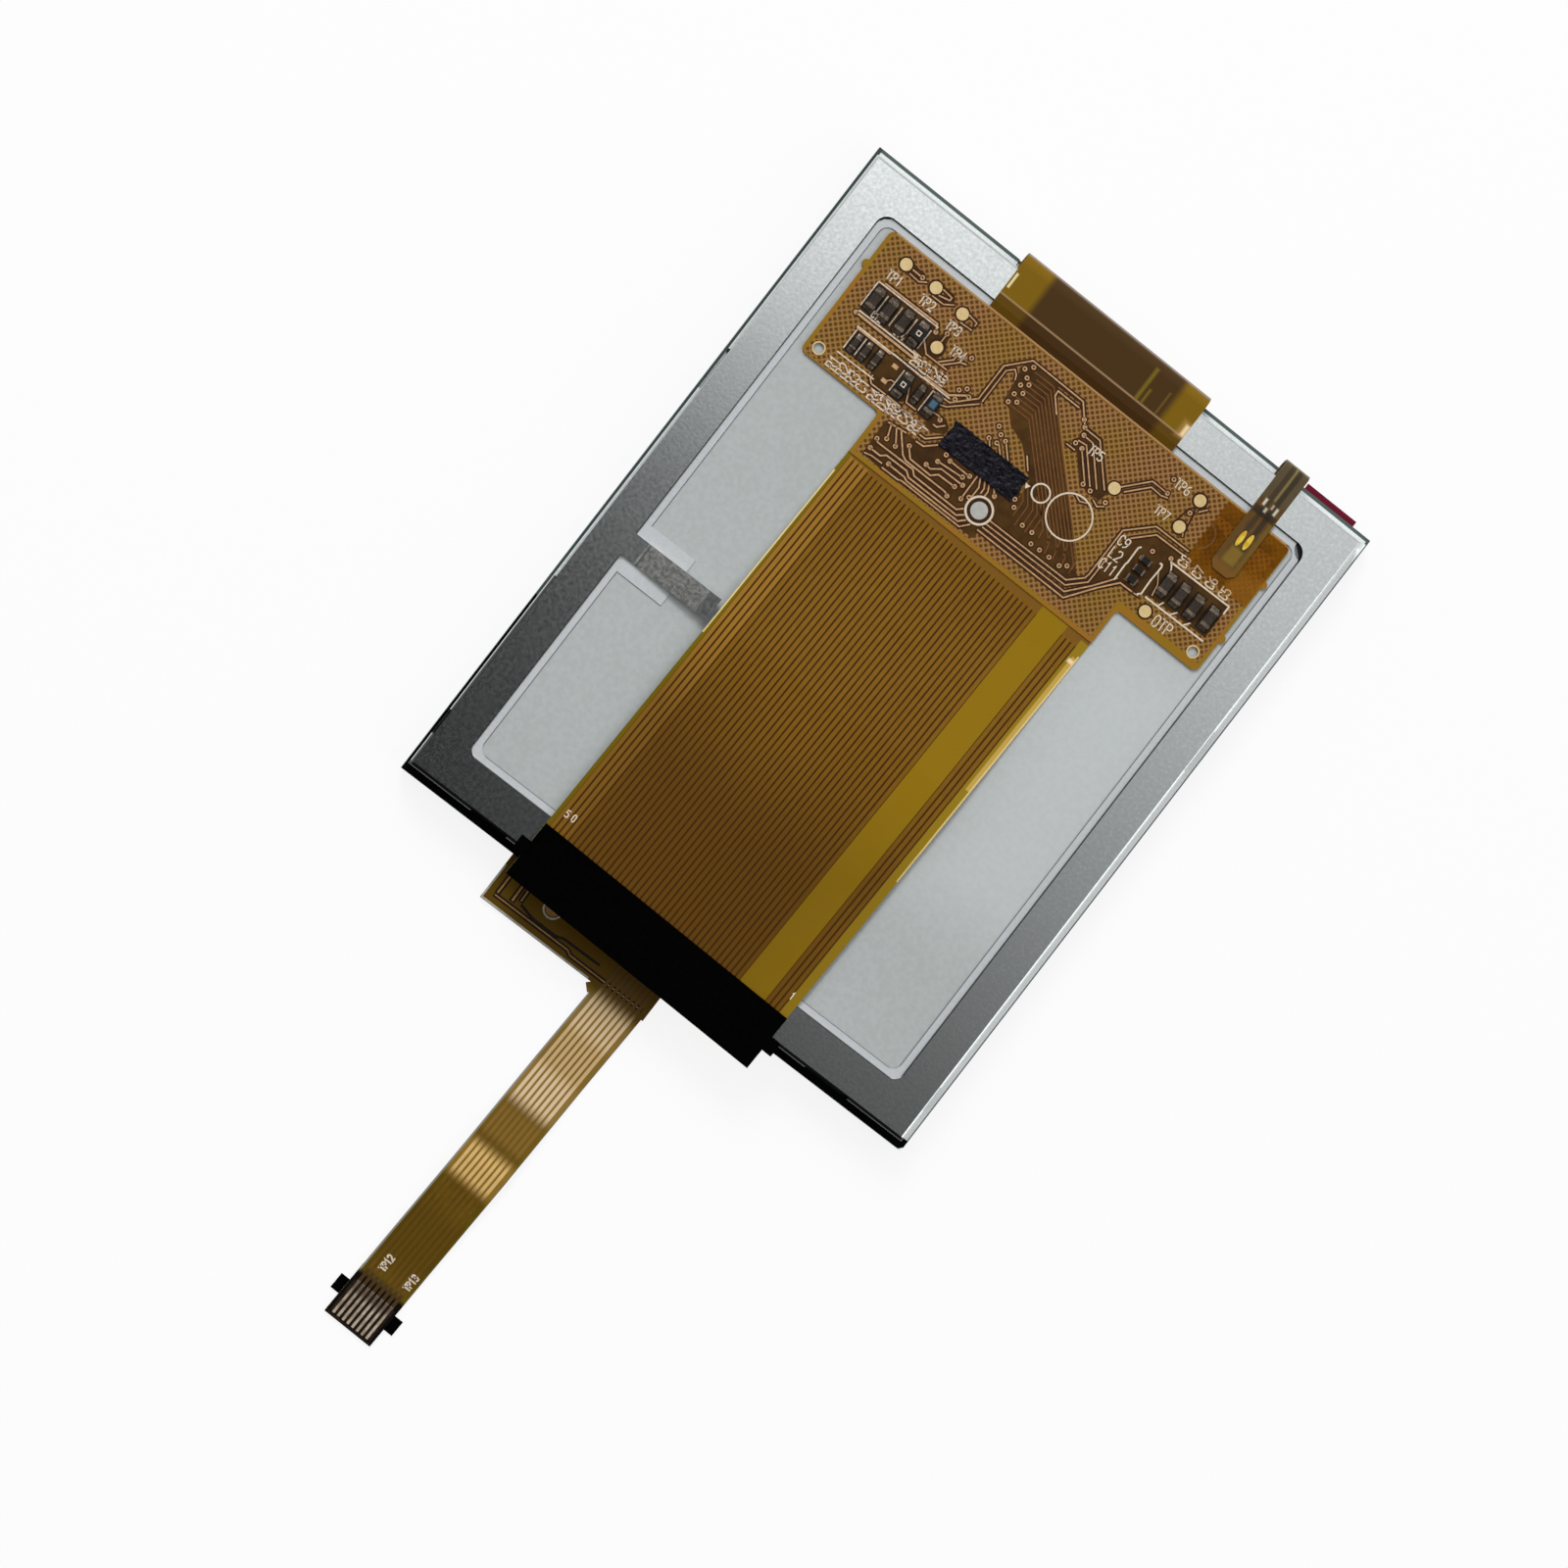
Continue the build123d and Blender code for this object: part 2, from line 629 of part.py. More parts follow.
# Sheet metal back with folded walls, a window, a spring tongue and snap notches
with BuildPart() as rear_frame:
    with BuildSketch(Plane.XY.offset(flange_level)):
        with Locations(metal_centre):
            Rectangle(metal_width, metal_length)
    extrude(amount=back_level - flange_level)
    fillet(rear_frame.faces().sort_by(Axis.Z)[-1].edges(), radius=metal_bend)
    with BuildSketch(Plane.XY.offset(flange_level)):
        with Locations(metal_centre):
            Rectangle(metal_width - 2 * metal_thickness, metal_length - 2 * metal_thickness)
    extrude(amount=rim_level - flange_level, mode=Mode.SUBTRACT)
    with BuildSketch(Plane.XY.offset(rim_level)) as window:
        with Locations(window_centre):
            RectangleRounded(window_right - window_left, window_top - window_bottom, window_corner)
        with Locations((window_left, tongue_place)):
            Rectangle(
                tongue_flat,
                tongue_width,
                align=(Align.MIN, Align.CENTER),
                mode=Mode.SUBTRACT,
            )
        tongue_root = (window_left, tongue_place - tongue_width / 2)
        fillet(window.vertices().sort_by_distance(tongue_root)[0], radius=tongue_root_radius)
    extrude(amount=metal_thickness, mode=Mode.SUBTRACT)
    with BuildSketch(Plane.XZ.offset(tongue_width / 2 - tongue_place)):
        tongue_end = window_left + tongue_flat + tongue_spring
        tongue_lift = tongue_spring * tan(radians(tongue_rise))
        with BuildLine():
            Polyline(
                (window_left + tongue_flat, rim_level),
                (tongue_end, rim_level + tongue_lift),
                (tongue_end, back_level + tongue_lift),
                (window_left + tongue_flat, back_level),
                close=True,
            )
        make_face()
    extrude(amount=-tongue_width)
    for place, span in right_snaps:
        with BuildSketch(Plane.XY.offset(back_level)):
            with Locations((metal_right, place)):
                Rectangle(2 * snap_depth, span)
            with Locations((metal_left, place)):
                Rectangle(2 * snap_depth, span)
        extrude(amount=-snap_height, mode=Mode.SUBTRACT)
    for place, span in bottom_snaps:
        with BuildSketch(Plane.XY.offset(back_level)):
            with Locations((place, metal_bottom)):
                Rectangle(span, 2 * snap_depth)
        extrude(amount=-snap_height, mode=Mode.SUBTRACT)
    with BuildSketch(Plane.XY.offset(flange_level)):
        with Locations((lamp_film_left - slot_gap, metal_top - 2 * metal_thickness)):
            Rectangle(lamp_film_width + 2 * slot_gap, ledge_length, align=(Align.MIN, Align.MIN))
    extrude(amount=guide_level + slot_gap - flange_level, mode=Mode.SUBTRACT)
rear_frame.part.label = "rear_frame"
export_step(rear_frame.part, "parts/rear_frame.step")

# Main circuit film: bonded to the ledge, folded round the top edge, widened to a T-shaped board
# under its parts, and narrowed to the tail that runs down over the back
with BuildPart() as main_flex:
    with BuildSketch(Plane.YZ.offset(bridge_left)):
        folded_side_view(
            cell_top - bond_depth,
            fold_centre,
            fold_height,
            fold_radius,
            film_thickness,
            (
                (window_top - metal_gap, back_level),
                (board_top - board_step, lip_level),
                (board_top - 2 * board_step, lip_level),
            ),
        )
    extrude(amount=bridge_width)
    with BuildSketch(Plane.XY.offset(lip_level)) as board_outline:
        with BuildLine():
            Polyline(
                (board_left, board_top),
                (board_right, board_top),
                (board_right, right_wing_bottom),
                (tail_middle + tail_width / 2, right_wing_bottom),
                (tail_middle + tail_width / 2, stem_bottom),
                (tail_middle - tail_width / 2, stem_bottom),
                (tail_middle - tail_width / 2, left_wing_bottom),
                (board_left, left_wing_bottom),
                close=True,
            )
        make_face()
        corners = board_outline.vertices().sort_by(Axis.X)
        fillet(corners[0:2] + corners[-2:], radius=board_corner)
        stem_left = (tail_middle - tail_width / 2, left_wing_bottom)
        stem_right = (tail_middle + tail_width / 2, right_wing_bottom)
        for corner in (stem_left, stem_right):
            fillet(board_outline.vertices().sort_by_distance(corner)[0], radius=stem_corner)
        with Locations(*edge_nubs):
            Circle(edge_nub_radius)
        with Locations(*locating_holes):
            Circle(locating_hole_radius, mode=Mode.SUBTRACT)
    extrude(amount=film_thickness + board_layers_thickness)
    with BuildPart(mode=Mode.PRIVATE) as tail_band:
        with BuildSketch(Plane.YZ):
            film_side_view(tail_route, 0, film_thickness)
        extrude(amount=tail_width, both=True)
        with BuildSketch():
            with Locations(Location((tail_middle, stem_bottom + board_corner / 2, 0), -tail_skew)):
                Rectangle(
                    tail_width,
                    tail_length + board_corner / 2,
                    align=(Align.CENTER, Align.MAX),
                )
        extrude(amount=2 * back_level, mode=Mode.INTERSECT)
    add(tail_band.part)
main_flex.part.label = "main_flex"
export_step(main_flex.part, "parts/main_flex.step")


def tail_frame(across, along):
    """Give the place of a point of the skewed tail, from its root's middle."""
    turn = radians(tail_skew)
    return (
        tail_middle + across * cos(turn) + along * sin(turn),
        stem_bottom - across * sin(turn) + along * cos(turn),
    )


# Copper conductors of the tail, laid on its rear face along the skewed film
left_places = [first_conductor + conductor_pitch * count for count in range(left_conductors)]
right_places = [right_conductor_start + conductor_pitch * count for count in range(right_conductors)]
with BuildPart() as tail_conductors:
    with BuildSketch(Plane.YZ.offset(-tail_width)):
        film_side_view(tail_route, film_thickness, conductor_thickness)
    extrude(amount=2 * tail_width)
    with BuildSketch():
        for place in left_places + right_places:
            root = tail_frame(place - tail_width / 2, -conductor_start)
            with Locations(Location((*root, 0), -tail_skew)):
                Rectangle(
                    conductor_width,
                    tail_length - stiffener_length - conductor_start,
                    align=(Align.CENTER, Align.MAX),
                )
    extrude(amount=2 * back_level, mode=Mode.INTERSECT)
tail_conductors.part.label = "tail_conductors"
export_step(tail_conductors.part, "parts/tail_conductors.step")

# Stiffener on the tail's free end, with an ear on each side
end_level = back_level + tail_end_lift
with BuildPart() as tail_stiffener:
    with BuildSketch(Plane.XY.offset(end_level + film_thickness)):
        with Locations(Location((*tail_frame(0, -tail_length), 0), -tail_skew)):
            Rectangle(tail_width, stiffener_length, align=(Align.CENTER, Align.MIN))
            with Locations((0, stiffener_length / 2)):
                Rectangle(tail_width + 2 * ear_width, ear_length)
    extrude(amount=stiffener_thickness)
tail_stiffener.part.label = "tail_stiffener"
export_step(tail_stiffener.part, "parts/tail_stiffener.step")

# Gold contacts on the under side of the tail's free end
with BuildPart() as tail_contacts:
    with BuildSketch(Plane.XY.offset(end_level - contact_thickness)):
        with Locations(Location((*tail_frame(0, contact_length / 2 - tail_length), 0), -tail_skew)):
            with GridLocations(conductor_pitch, 1, contact_count, 1):
                Rectangle(contact_width, contact_length)
    extrude(amount=contact_thickness)
tail_contacts.part.label = "tail_contacts"
export_step(tail_contacts.part, "parts/tail_contacts.step")

# Round test pads and the locating disc of the board
with BuildPart() as test_pads:
    with BuildSketch(Plane.XY.offset(board_level)):
        with Locations(*test_pads_at):
            Circle(pad_radius)
    extrude(amount=pad_thickness)
test_pads.part.label = "test_pads"
export_step(test_pads.part, "parts/test_pads.step")

with BuildPart() as locating_disc:
    with BuildSketch(Plane.XY.offset(board_level)):
        with Locations(*locating_disc_at):
            Circle(locating_disc_radius)
    extrude(amount=pad_thickness)
locating_disc.part.label = "locating_disc"
export_step(locating_disc.part, "parts/locating_disc.step")

# Large chips: ceramic bodies between metal ends
with BuildPart() as chip_bodies:
    with BuildSketch(Plane.XY.offset(board_level)):
        chip_rows(large_chips, chip_length - 2 * chip_cap_length, chip_width)
    extrude(amount=chip_height)
chip_bodies.part.label = "chip_bodies"
export_step(chip_bodies.part, "parts/chip_bodies.step")

with BuildPart() as blue_resistor:
    with BuildSketch(Plane.XY.offset(board_level)):
        chip_rows(blue_chip, chip_length - 2 * chip_cap_length, chip_width)
    extrude(amount=chip_height)
blue_resistor.part.label = "blue_resistor"
export_step(blue_resistor.part, "parts/blue_resistor.step")

with BuildPart() as small_chip_bodies:
    with BuildSketch(Plane.XY.offset(board_level)):
        chip_rows(small_chips, small_chip_length - chip_cap_length, small_chip_width)
    extrude(amount=small_chip_height)
small_chip_bodies.part.label = "small_chip_bodies"
export_step(small_chip_bodies.part, "parts/small_chip_bodies.step")

with BuildPart() as diodes:
    with BuildSketch(Plane.XY.offset(board_level)):
        chip_rows(diodes_at, diode_length - 2 * chip_cap_length, diode_width)
    extrude(amount=diode_height)
    chamfer(diodes.faces().group_by(Axis.Z)[-1].edges(), length=chip_cap_wrap)
diodes.part.label = "diodes"
export_step(diodes.part, "parts/diodes.step")

with BuildPart() as filter_parts:
    with BuildSketch(Plane.XY.offset(board_level)):
        with Locations(*filter_at):
            with GridLocations(1, filter_pitch, 1, 3):
                Rectangle(small_chip_length - chip_cap_length, small_chip_width)
    extrude(amount=small_chip_height)
filter_parts.part.label = "filter_parts"
export_step(filter_parts.part, "parts/filter_parts.step")

# Metal ends of all the chips
with BuildPart() as chip_terminals:
    with BuildSketch(Plane.XY.offset(board_level)):
        chip_ends(large_chips + blue_chip, chip_length, chip_width)
    extrude(amount=chip_height + chip_cap_wrap)
    with BuildSketch(Plane.XY.offset(board_level)):
        chip_ends(diodes_at, diode_length, chip_width)
        with Locations(*small_chips):
            with GridLocations(1, small_chip_length - chip_cap_length / 2, 1, 2):
                Rectangle(small_chip_width + 2 * chip_cap_wrap, chip_cap_length / 2)
        with Locations(*filter_at):
            with GridLocations(small_chip_length - chip_cap_length / 2, filter_pitch, 2, 3):
                Rectangle(chip_cap_length / 2, small_chip_width + 2 * chip_cap_wrap)
    extrude(amount=small_chip_height + chip_cap_wrap)
chip_terminals.part.label = "chip_terminals"
export_step(chip_terminals.part, "parts/chip_terminals.step")

# Black insulating tape over part of the board
with BuildPart() as insulating_patch:
    with BuildSketch(Plane.XY.offset(board_level)):
        with Locations(*patch_at):
            Rectangle(patch_width, patch_length)
    extrude(amount=patch_thickness)
insulating_patch.part.label = "insulating_patch"
export_step(insulating_patch.part, "parts/insulating_patch.step")

# Amber tape under the joint of the lamp film
with BuildPart() as joint_tape:
    with BuildSketch(Plane.XY.offset(board_level)):
        with Locations(*joint_tape_at):
            Rectangle(joint_tape_width, joint_tape_length)
    extrude(amount=joint_tape_thickness)
joint_tape.part.label = "joint_tape"
export_step(joint_tape.part, "parts/joint_tape.step")

# Lamp film: a strip beside the lamps and a tail folded over the top edge to the board
joint_level = board_level + joint_tape_thickness
with BuildPart() as lamp_flex:
    with BuildSketch(Plane.YZ.offset(lamp_film_left)):
        folded_side_view(
            strip_bottom + lamp_strip_depth / 2,
            lamp_fold_centre,
            lamp_fold_height,
            lamp_fold_radius,
            sheet_thickness,
            (
                (window_top, back_level),
                (joint_tape_at[0][1] + joint_tape_length / 2, joint_level),
                (lamp_film_end, joint_level),
            ),
        )
    extrude(amount=lamp_film_width)
    end_corners = lamp_flex.edges().filter_by(Axis.Z).sort_by(Axis.Y)[0:2]
    chamfer(end_corners, length=lamp_film_taper)
    with BuildSketch(Plane.XY.offset(diffuser_level)):
        with Locations((metal_offset_x, strip_bottom)):
            Rectangle(lamp_strip_width, lamp_strip_depth, align=(Align.CENTER, Align.MIN))
    extrude(amount=sheet_thickness)
lamp_flex.part.label = "lamp_flex"
export_step(lamp_flex.part, "parts/lamp_flex.step")

# Bright soldered joints on the lamp film
with BuildPart() as joint_pads:
    with BuildSketch(Plane.XY.offset(joint_level + sheet_thickness)):
        with Locations(*joint_pads_at):
            Ellipse(joint_pad_width / 2, joint_pad_length / 2)
    extrude(amount=joint_pad_height)
joint_pads.part.label = "joint_pads"
export_step(joint_pads.part, "parts/joint_pads.step")

# Touch film's tail: a block under the bottom edge and a narrow leaning tail with gentle waves
touch_tail_right = touch_tail_left + touch_tail_width
touch_turn = Location((touch_tail_left + touch_tail_width / 2, touch_edge, 0), -touch_tail_lean)
with BuildPart() as touch_flex:
    with BuildSketch(Plane.YZ.offset(-panel_width / 2)):
        film_side_view(touch_route, 0, touch_film_tail_thickness)
    extrude(amount=panel_width)
    with BuildSketch():
        with BuildLine():
            Polyline(
                (touch_block_left, touch_edge + touch_bond_depth),
                (touch_tail_right, touch_edge + touch_bond_depth),
                (touch_tail_right, touch_block_bottom),
                (touch_tail_left - touch_shoulder, touch_block_bottom),
                (touch_block_left, touch_block_bottom),
                close=True,
            )
        make_face()
        with Locations(touch_turn):
            Rectangle(
                touch_tail_width,
                touch_tail_reach / cos(radians(touch_tail_lean)),
                align=(Align.CENTER, Align.MAX),
            )
        with Locations((touch_tail_left, touch_block_bottom)):
            with Locations(Location((0, 0, 0), 45)):
                Rectangle(2 * touch_shoulder, touch_shoulder)
    extrude(amount=panel_length, mode=Mode.INTERSECT)
touch_flex.part.label = "touch_flex"
export_step(touch_flex.part, "parts/touch_flex.step")

# Conductors of the touch film's tail
with BuildPart() as touch_conductor_strips:
    with BuildSketch(Plane.YZ.offset(-panel_width / 2)):
        film_side_view(touch_route, touch_film_tail_thickness, conductor_thickness)
    extrude(amount=panel_width)
    with BuildSketch():
        with Locations(touch_turn):
            with Locations((0, -touch_bond_depth)):
                with GridLocations(conductor_pitch, 1, touch_conductors, 1):
                    Rectangle(
                        touch_conductor_width,
                        touch_tail_reach - touch_bond_depth - touch_contact_length,
                        align=(Align.CENTER, Align.MAX),
                    )
    extrude(amount=panel_length, mode=Mode.INTERSECT)
touch_conductor_strips.part.label = "touch_conductors"
export_step(touch_conductor_strips.part, "parts/touch_conductors.step")

# Stiffener under the touch film's free end, with an ear on each side
with BuildPart() as touch_stiffener:
    with BuildSketch():
        with Locations(touch_turn):
            with Locations((0, -touch_tail_reach)):
                Rectangle(touch_tail_width, touch_stiffener_length, align=(Align.CENTER, Align.MIN))
            with Locations((0, touch_stiffener_length / 2 - touch_tail_reach)):
                Rectangle(touch_tail_width + 2 * touch_ear_width, touch_ear_length)
    extrude(amount=touch_stiffener_thickness)
touch_stiffener.part.label = "touch_stiffener"
export_step(touch_stiffener.part, "parts/touch_stiffener.step")

# Bare contacts on the rear side of the touch film's free end
with BuildPart() as touch_contacts:
    with BuildSketch(Plane.XY.offset(touch_stiffener_thickness + touch_film_tail_thickness)):
        with Locations(touch_turn):
            with Locations((0, touch_contact_length / 2 - touch_tail_reach)):
                with GridLocations(conductor_pitch, 1, touch_conductors, 1):
                    Rectangle(touch_conductor_width, touch_contact_length)
    extrude(amount=touch_contact_thickness)
touch_contacts.part.label = "touch_contacts"
export_step(touch_contacts.part, "parts/touch_contacts.step")
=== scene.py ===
"""Looks of a small rear-lit display module that lies on its face.

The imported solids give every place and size, in metres. This script gives them their finishes,
adds the fine relief of the printed circuit films, and sets the camera and the soft light.
Lengths written here are in millimetres and pass through mm() on their way to Blender, apart from
the studio's, which are in metres. In the tables a row of lines() is a width and then X and Y of each
point of a path, and a label is its text, its lower left corner, its height and its turn in degrees.
"""

import logging
import math
from dataclasses import dataclass, field, replace
from enum import Enum
from typing import Optional, Sequence

import bmesh
import bpy
from mathutils import Matrix, Vector, noise


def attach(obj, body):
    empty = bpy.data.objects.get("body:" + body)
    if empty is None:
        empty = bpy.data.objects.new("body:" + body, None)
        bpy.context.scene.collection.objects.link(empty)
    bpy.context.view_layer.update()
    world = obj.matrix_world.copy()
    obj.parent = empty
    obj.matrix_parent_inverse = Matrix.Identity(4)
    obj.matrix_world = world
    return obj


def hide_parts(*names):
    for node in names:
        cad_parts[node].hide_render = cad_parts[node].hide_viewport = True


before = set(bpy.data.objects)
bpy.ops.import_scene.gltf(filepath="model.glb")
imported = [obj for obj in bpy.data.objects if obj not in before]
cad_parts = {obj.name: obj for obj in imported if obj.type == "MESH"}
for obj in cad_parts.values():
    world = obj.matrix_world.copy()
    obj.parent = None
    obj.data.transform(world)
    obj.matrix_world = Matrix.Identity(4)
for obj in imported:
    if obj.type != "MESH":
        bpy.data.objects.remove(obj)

LOG = logging.getLogger("display_module")
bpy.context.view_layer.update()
BODY = "root"

Point = tuple[float, float]
Span = tuple[float, float]
Path2 = tuple[Point, ...]
Tint = tuple[int, int, int]
Socket = bpy.types.NodeSocket
Sockets = list[Socket]


def pairs(*numbers: float) -> Path2:
    """Give the points of a path that is written flat, as X and Y in turn."""
    return tuple(zip(numbers[::2], numbers[1::2]))


def lines(*rows: tuple[float, ...]) -> tuple[tuple[float, Path2], ...]:
    """Give widths and paths that are written flat, as a width and then X and Y in turn."""
    return tuple((row[0], pairs(*row[1:])) for row in rows)


BOARD_TOP = 4.02
BARE_TOP = 4.022
CONDUCTOR_TOP = 4.04
PRINT_TOP = 4.048
TAIL_TURN = math.radians(1.5)
TAIL_ROOT: Point = (-0.28, 10.6)
TOUCH_TURN = math.radians(2.1)
TOUCH_ROOT: Point = (0.1, -31.95)
SHARPEST_TURN = 0.35
END_REACH = 0.3
LETTER_PITCH = 0.86
LETTER_WIDTH = 0.72
MIX_COLOURS = (6, 7)
MIX_RESULT = 2

CONDUCTORS = lines(
    (0.15, -18.86, 23.07, -13.54, 23.15, -13.23, 22.55),
    (0.2, -19.35, 19.79, -18.08, 19.77, -12.81, 19.77, -12.65, 19.43),
    (0.12, -13.75, 20.25, -12.93, 20.2), (0.14, -14.81, 19.04, -11.9, 18.95),
    (0.14, -18.5, 18.85, -15.07, 18.86), (0.16, -11.74, 19.14, -9.27, 19.2, -8.08, 20.1),
    (0.12, -10.38, 18.67, -8.84, 18.77, -7.18, 20.5, -7.18, 23.86, -5.55, 25.67, -0.28, 25.62, 0.72,
     24.52, 1.12, 24.09),
    (0.11, -9.35, 18.14, -8.84, 18.34, -6.88, 20.18),
    (0.11, -6.8, 20.48, -6.8, 23.67, -6.28, 24.2, -5.92, 23.92, -5.76, 23.53),
    (0.12, -17.76, 25.34, -16.86, 25.32),
    (0.11, -14.84, 25.63, -13.89, 25.53, -13.89, 25.25, -14.84, 25.03),
    (0.11, -11.9, 25.33, -11.03, 25.18, -11.03, 24.91),
    (0.11, -17.77, 24.94, -16.82, 24.88, -16.27, 25.25),
    (0.11, -15.24, 24.67, -14.12, 24.69, -13.41, 25.18), (0.11, -12.14, 24.41, -11.03, 24.47),
    (0.1, -12.41, 22.22, -12.41, 22.85), (0.12, -13.73, 21.6, -12.77, 20.66, -10.7, 20.69),
    (0.12, -11.66, 20.72, -10.71, 21.69, -10.71, 22.09),
    (0.12, -11.26, 20.72, -10.15, 21.86, -9.67, 22.02),
    (0.11, -13.96, 17.02, -13.72, 17.25, -13.21, 17.26),
    (0.11, -13.25, 16.04, -14.83, 16.01, -15.15, 16.29, -15.15, 16.61),
    (0.12, -13.32, 16.04, -11.89, 16.02, -11.58, 15.63),
    (0.12, -12.25, 17.84, -11.66, 16.58, -10.7, 16.59), (0.12, -9.47, 17.33, -8.87, 17.38, -8.63, 17.22),
    (0.12, -9.17, 15.22, -8.64, 15.23, -7.58, 16.22), (0.12, -9.08, 14.61, -8.38, 14.66, -7.53, 15.46),
    (0.12, -8.82, 16.55, -8.46, 16.56, -8.02, 17.05),
    (0.13, -11.75, 12.72, -11.49, 12.61, -7.91, 12.66, -7.51, 12.3, -3.12, 12.3, -2.68, 12.71),
    (0.13, -11.73, 11.87, -10.7, 11.88, -10.3, 12.22, -8.23, 12.25, -7.79, 11.92, -2.84, 11.93, -2.36,
     12.33),
    (0.13, -9.74, 11.75, -8.07, 11.74, -7.75, 11.59, -2.44, 11.62, -1.96, 12.1),
    (0.11, -11.85, 11.29, -11.26, 11.45, -10.22, 11.48),
    (0.12, -9.98, 11.22, -8.39, 11.24, -8.07, 11.36, -2.08, 11.34, -1.48, 12.03),
    (0.13, -10.58, 14.55, -9.27, 13.07, -8.81, 12.85, -4.72, 12.86, -4.39, 12.68),
    (0.13, -9.3, 13.93, -8.59, 13.19, -6.48, 13.15, -6, 13.61, -4.4, 13.65),
    (0.12, -7.29, 13.62, -6.8, 13.57, -6.08, 14.12, -3.92, 14.15), (0.12, -6.69, 14.43, -4.4, 14.64),
    (0.12, -5.92, 15.07, -3.92, 15.07), (0.12, -11.07, 14.56, -10.18, 13.3),
    (0.12, -11.56, 14.55, -11.11, 13.37), (0.12, -11.81, 14.43, -10.14, 14.65),
    (0.12, -3.4, 15.59, -3.35, 13.28), (0.12, -3.14, 15.59, -2.74, 14.83, -2.74, 13.85),
    (0.12, -2.7, 15.6, -2.34, 15.02, -2.34, 14.57), (0.12, -2.25, 15.61, -1.94, 15.02, -1.94, 14.58),
    (0.12, -1.77, 15.62, -1.32, 15.06),
    (0.12, -0.44, 13.27, 7.53, 13.35, 8.67, 14.45, 8.76, 14.89, 8.76, 19.41, 10.75, 21.37, 14.1, 21.42),
    (0.11, -0.44, 12.87, 7.72, 12.97, 9.09, 14.34, 9.13, 16.66),
    (0.12, -0.52, 12.49, 7.99, 12.51, 9.53, 14.3, 10.81, 16.08),
    (0.13, -0.72, 12.07, 8.24, 12.07, 9.93, 14.39, 11.22, 15.93, 12.56, 15.95),
    (0.12, 9.67, 19.31, 11.19, 20.85, 14.18, 20.93), (0.11, 6.46, 22.1, 8.24, 24.07, 9.77, 24.06),
    (0.11, 6.91, 21.94, 8.46, 23.64, 9.49, 23.59, 10.05, 23.77), (0.11, 12.8, 24.46, 13.29, 25.07),
    (0.1, 12.96, 22.06, 12.84, 22.29), (0.11, 12.48, 15.95, 13.04, 16),
    (0.12, -0.24, 25.02, -2.42, 25.02, -2.37, 24.55, -1.37, 23.45), (0.1, 0.76, 22.09, 1.6, 22.1),
    (0.11, 1.08, 24.01, 2.76, 24, 5.54, 21.05), (0.11, 1.46, 23.5, 2.44, 23.46, 4.98, 20.72),
    (0.11, 1.36, 22.9, 2.12, 23.01, 4.41, 20.55), (0.11, 1.98, 22.55, 3.85, 20.54),
    (0.11, 5.3, 19.84, 5.86, 19.61, 6.34, 19.98), (0.1, 3.93, 19.3, 4.49, 19.07, 5.06, 19.32),
    (0.11, 13.29, 20.05, 13.85, 19.46, 14.01, 18.9), (0.1, 13.12, 18.65, 13.77, 17.7, 13.93, 16.73),
    (0.11, -3.68, 18.7, -2.48, 17.48), (0.11, -3.28, 19.14, -1.6, 17.41),
    (0.11, -1.2, 19.3, -0.4, 18.39), (0.11, -4.48, 18.45, -3.84, 17.74),
)
DIM_CONDUCTORS = lines(
    (0.1, -4.85, 25.03, -2.89, 25.06, 7.24, 15.15, 7.4, 14.35),
    (0.1, -4.37, 24.62, -2.89, 24.64, 7.22, 14.75, 7.38, 13.95),
    (0.1, -4.85, 24.19, -2.89, 24.23, 5.95, 15.57, 6.11, 14.77),
    (0.1, -4.37, 23.78, -2.89, 23.81, 6.37, 14.74, 6.53, 13.94),
    (0.1, -4.85, 23.35, -2.89, 23.39, 5.27, 15.4, 5.43, 14.6),
    (0.1, -4.37, 22.94, -2.89, 22.97, 5.45, 14.8, 5.61, 14.01),
    (0.1, -4.85, 22.51, -2.89, 22.55, 4.26, 15.55, 4.42, 14.75),
    (0.1, -4.37, 22.1, -2.89, 22.13, 4.64, 14.75, 4.8, 13.95),
    (0.1, -4.84, 21.68, -2.89, 21.71, 3.5, 15.45, 3.66, 14.66),
    (0.09, -0.09, 17.32, 0.79, 16.21, 0.87, 14.78), (0.09, 0.48, 17.25, 1.36, 16.14, 1.44, 14.23),
    (0.09, 0.99, 17.25, 1.88, 16.15, 1.96, 14.63), (0.09, 1.48, 17.18, 2.37, 16.08, 2.45, 14.32),
    (0.09, 1.97, 17.11, 2.86, 16, 2.94, 14.65),
)
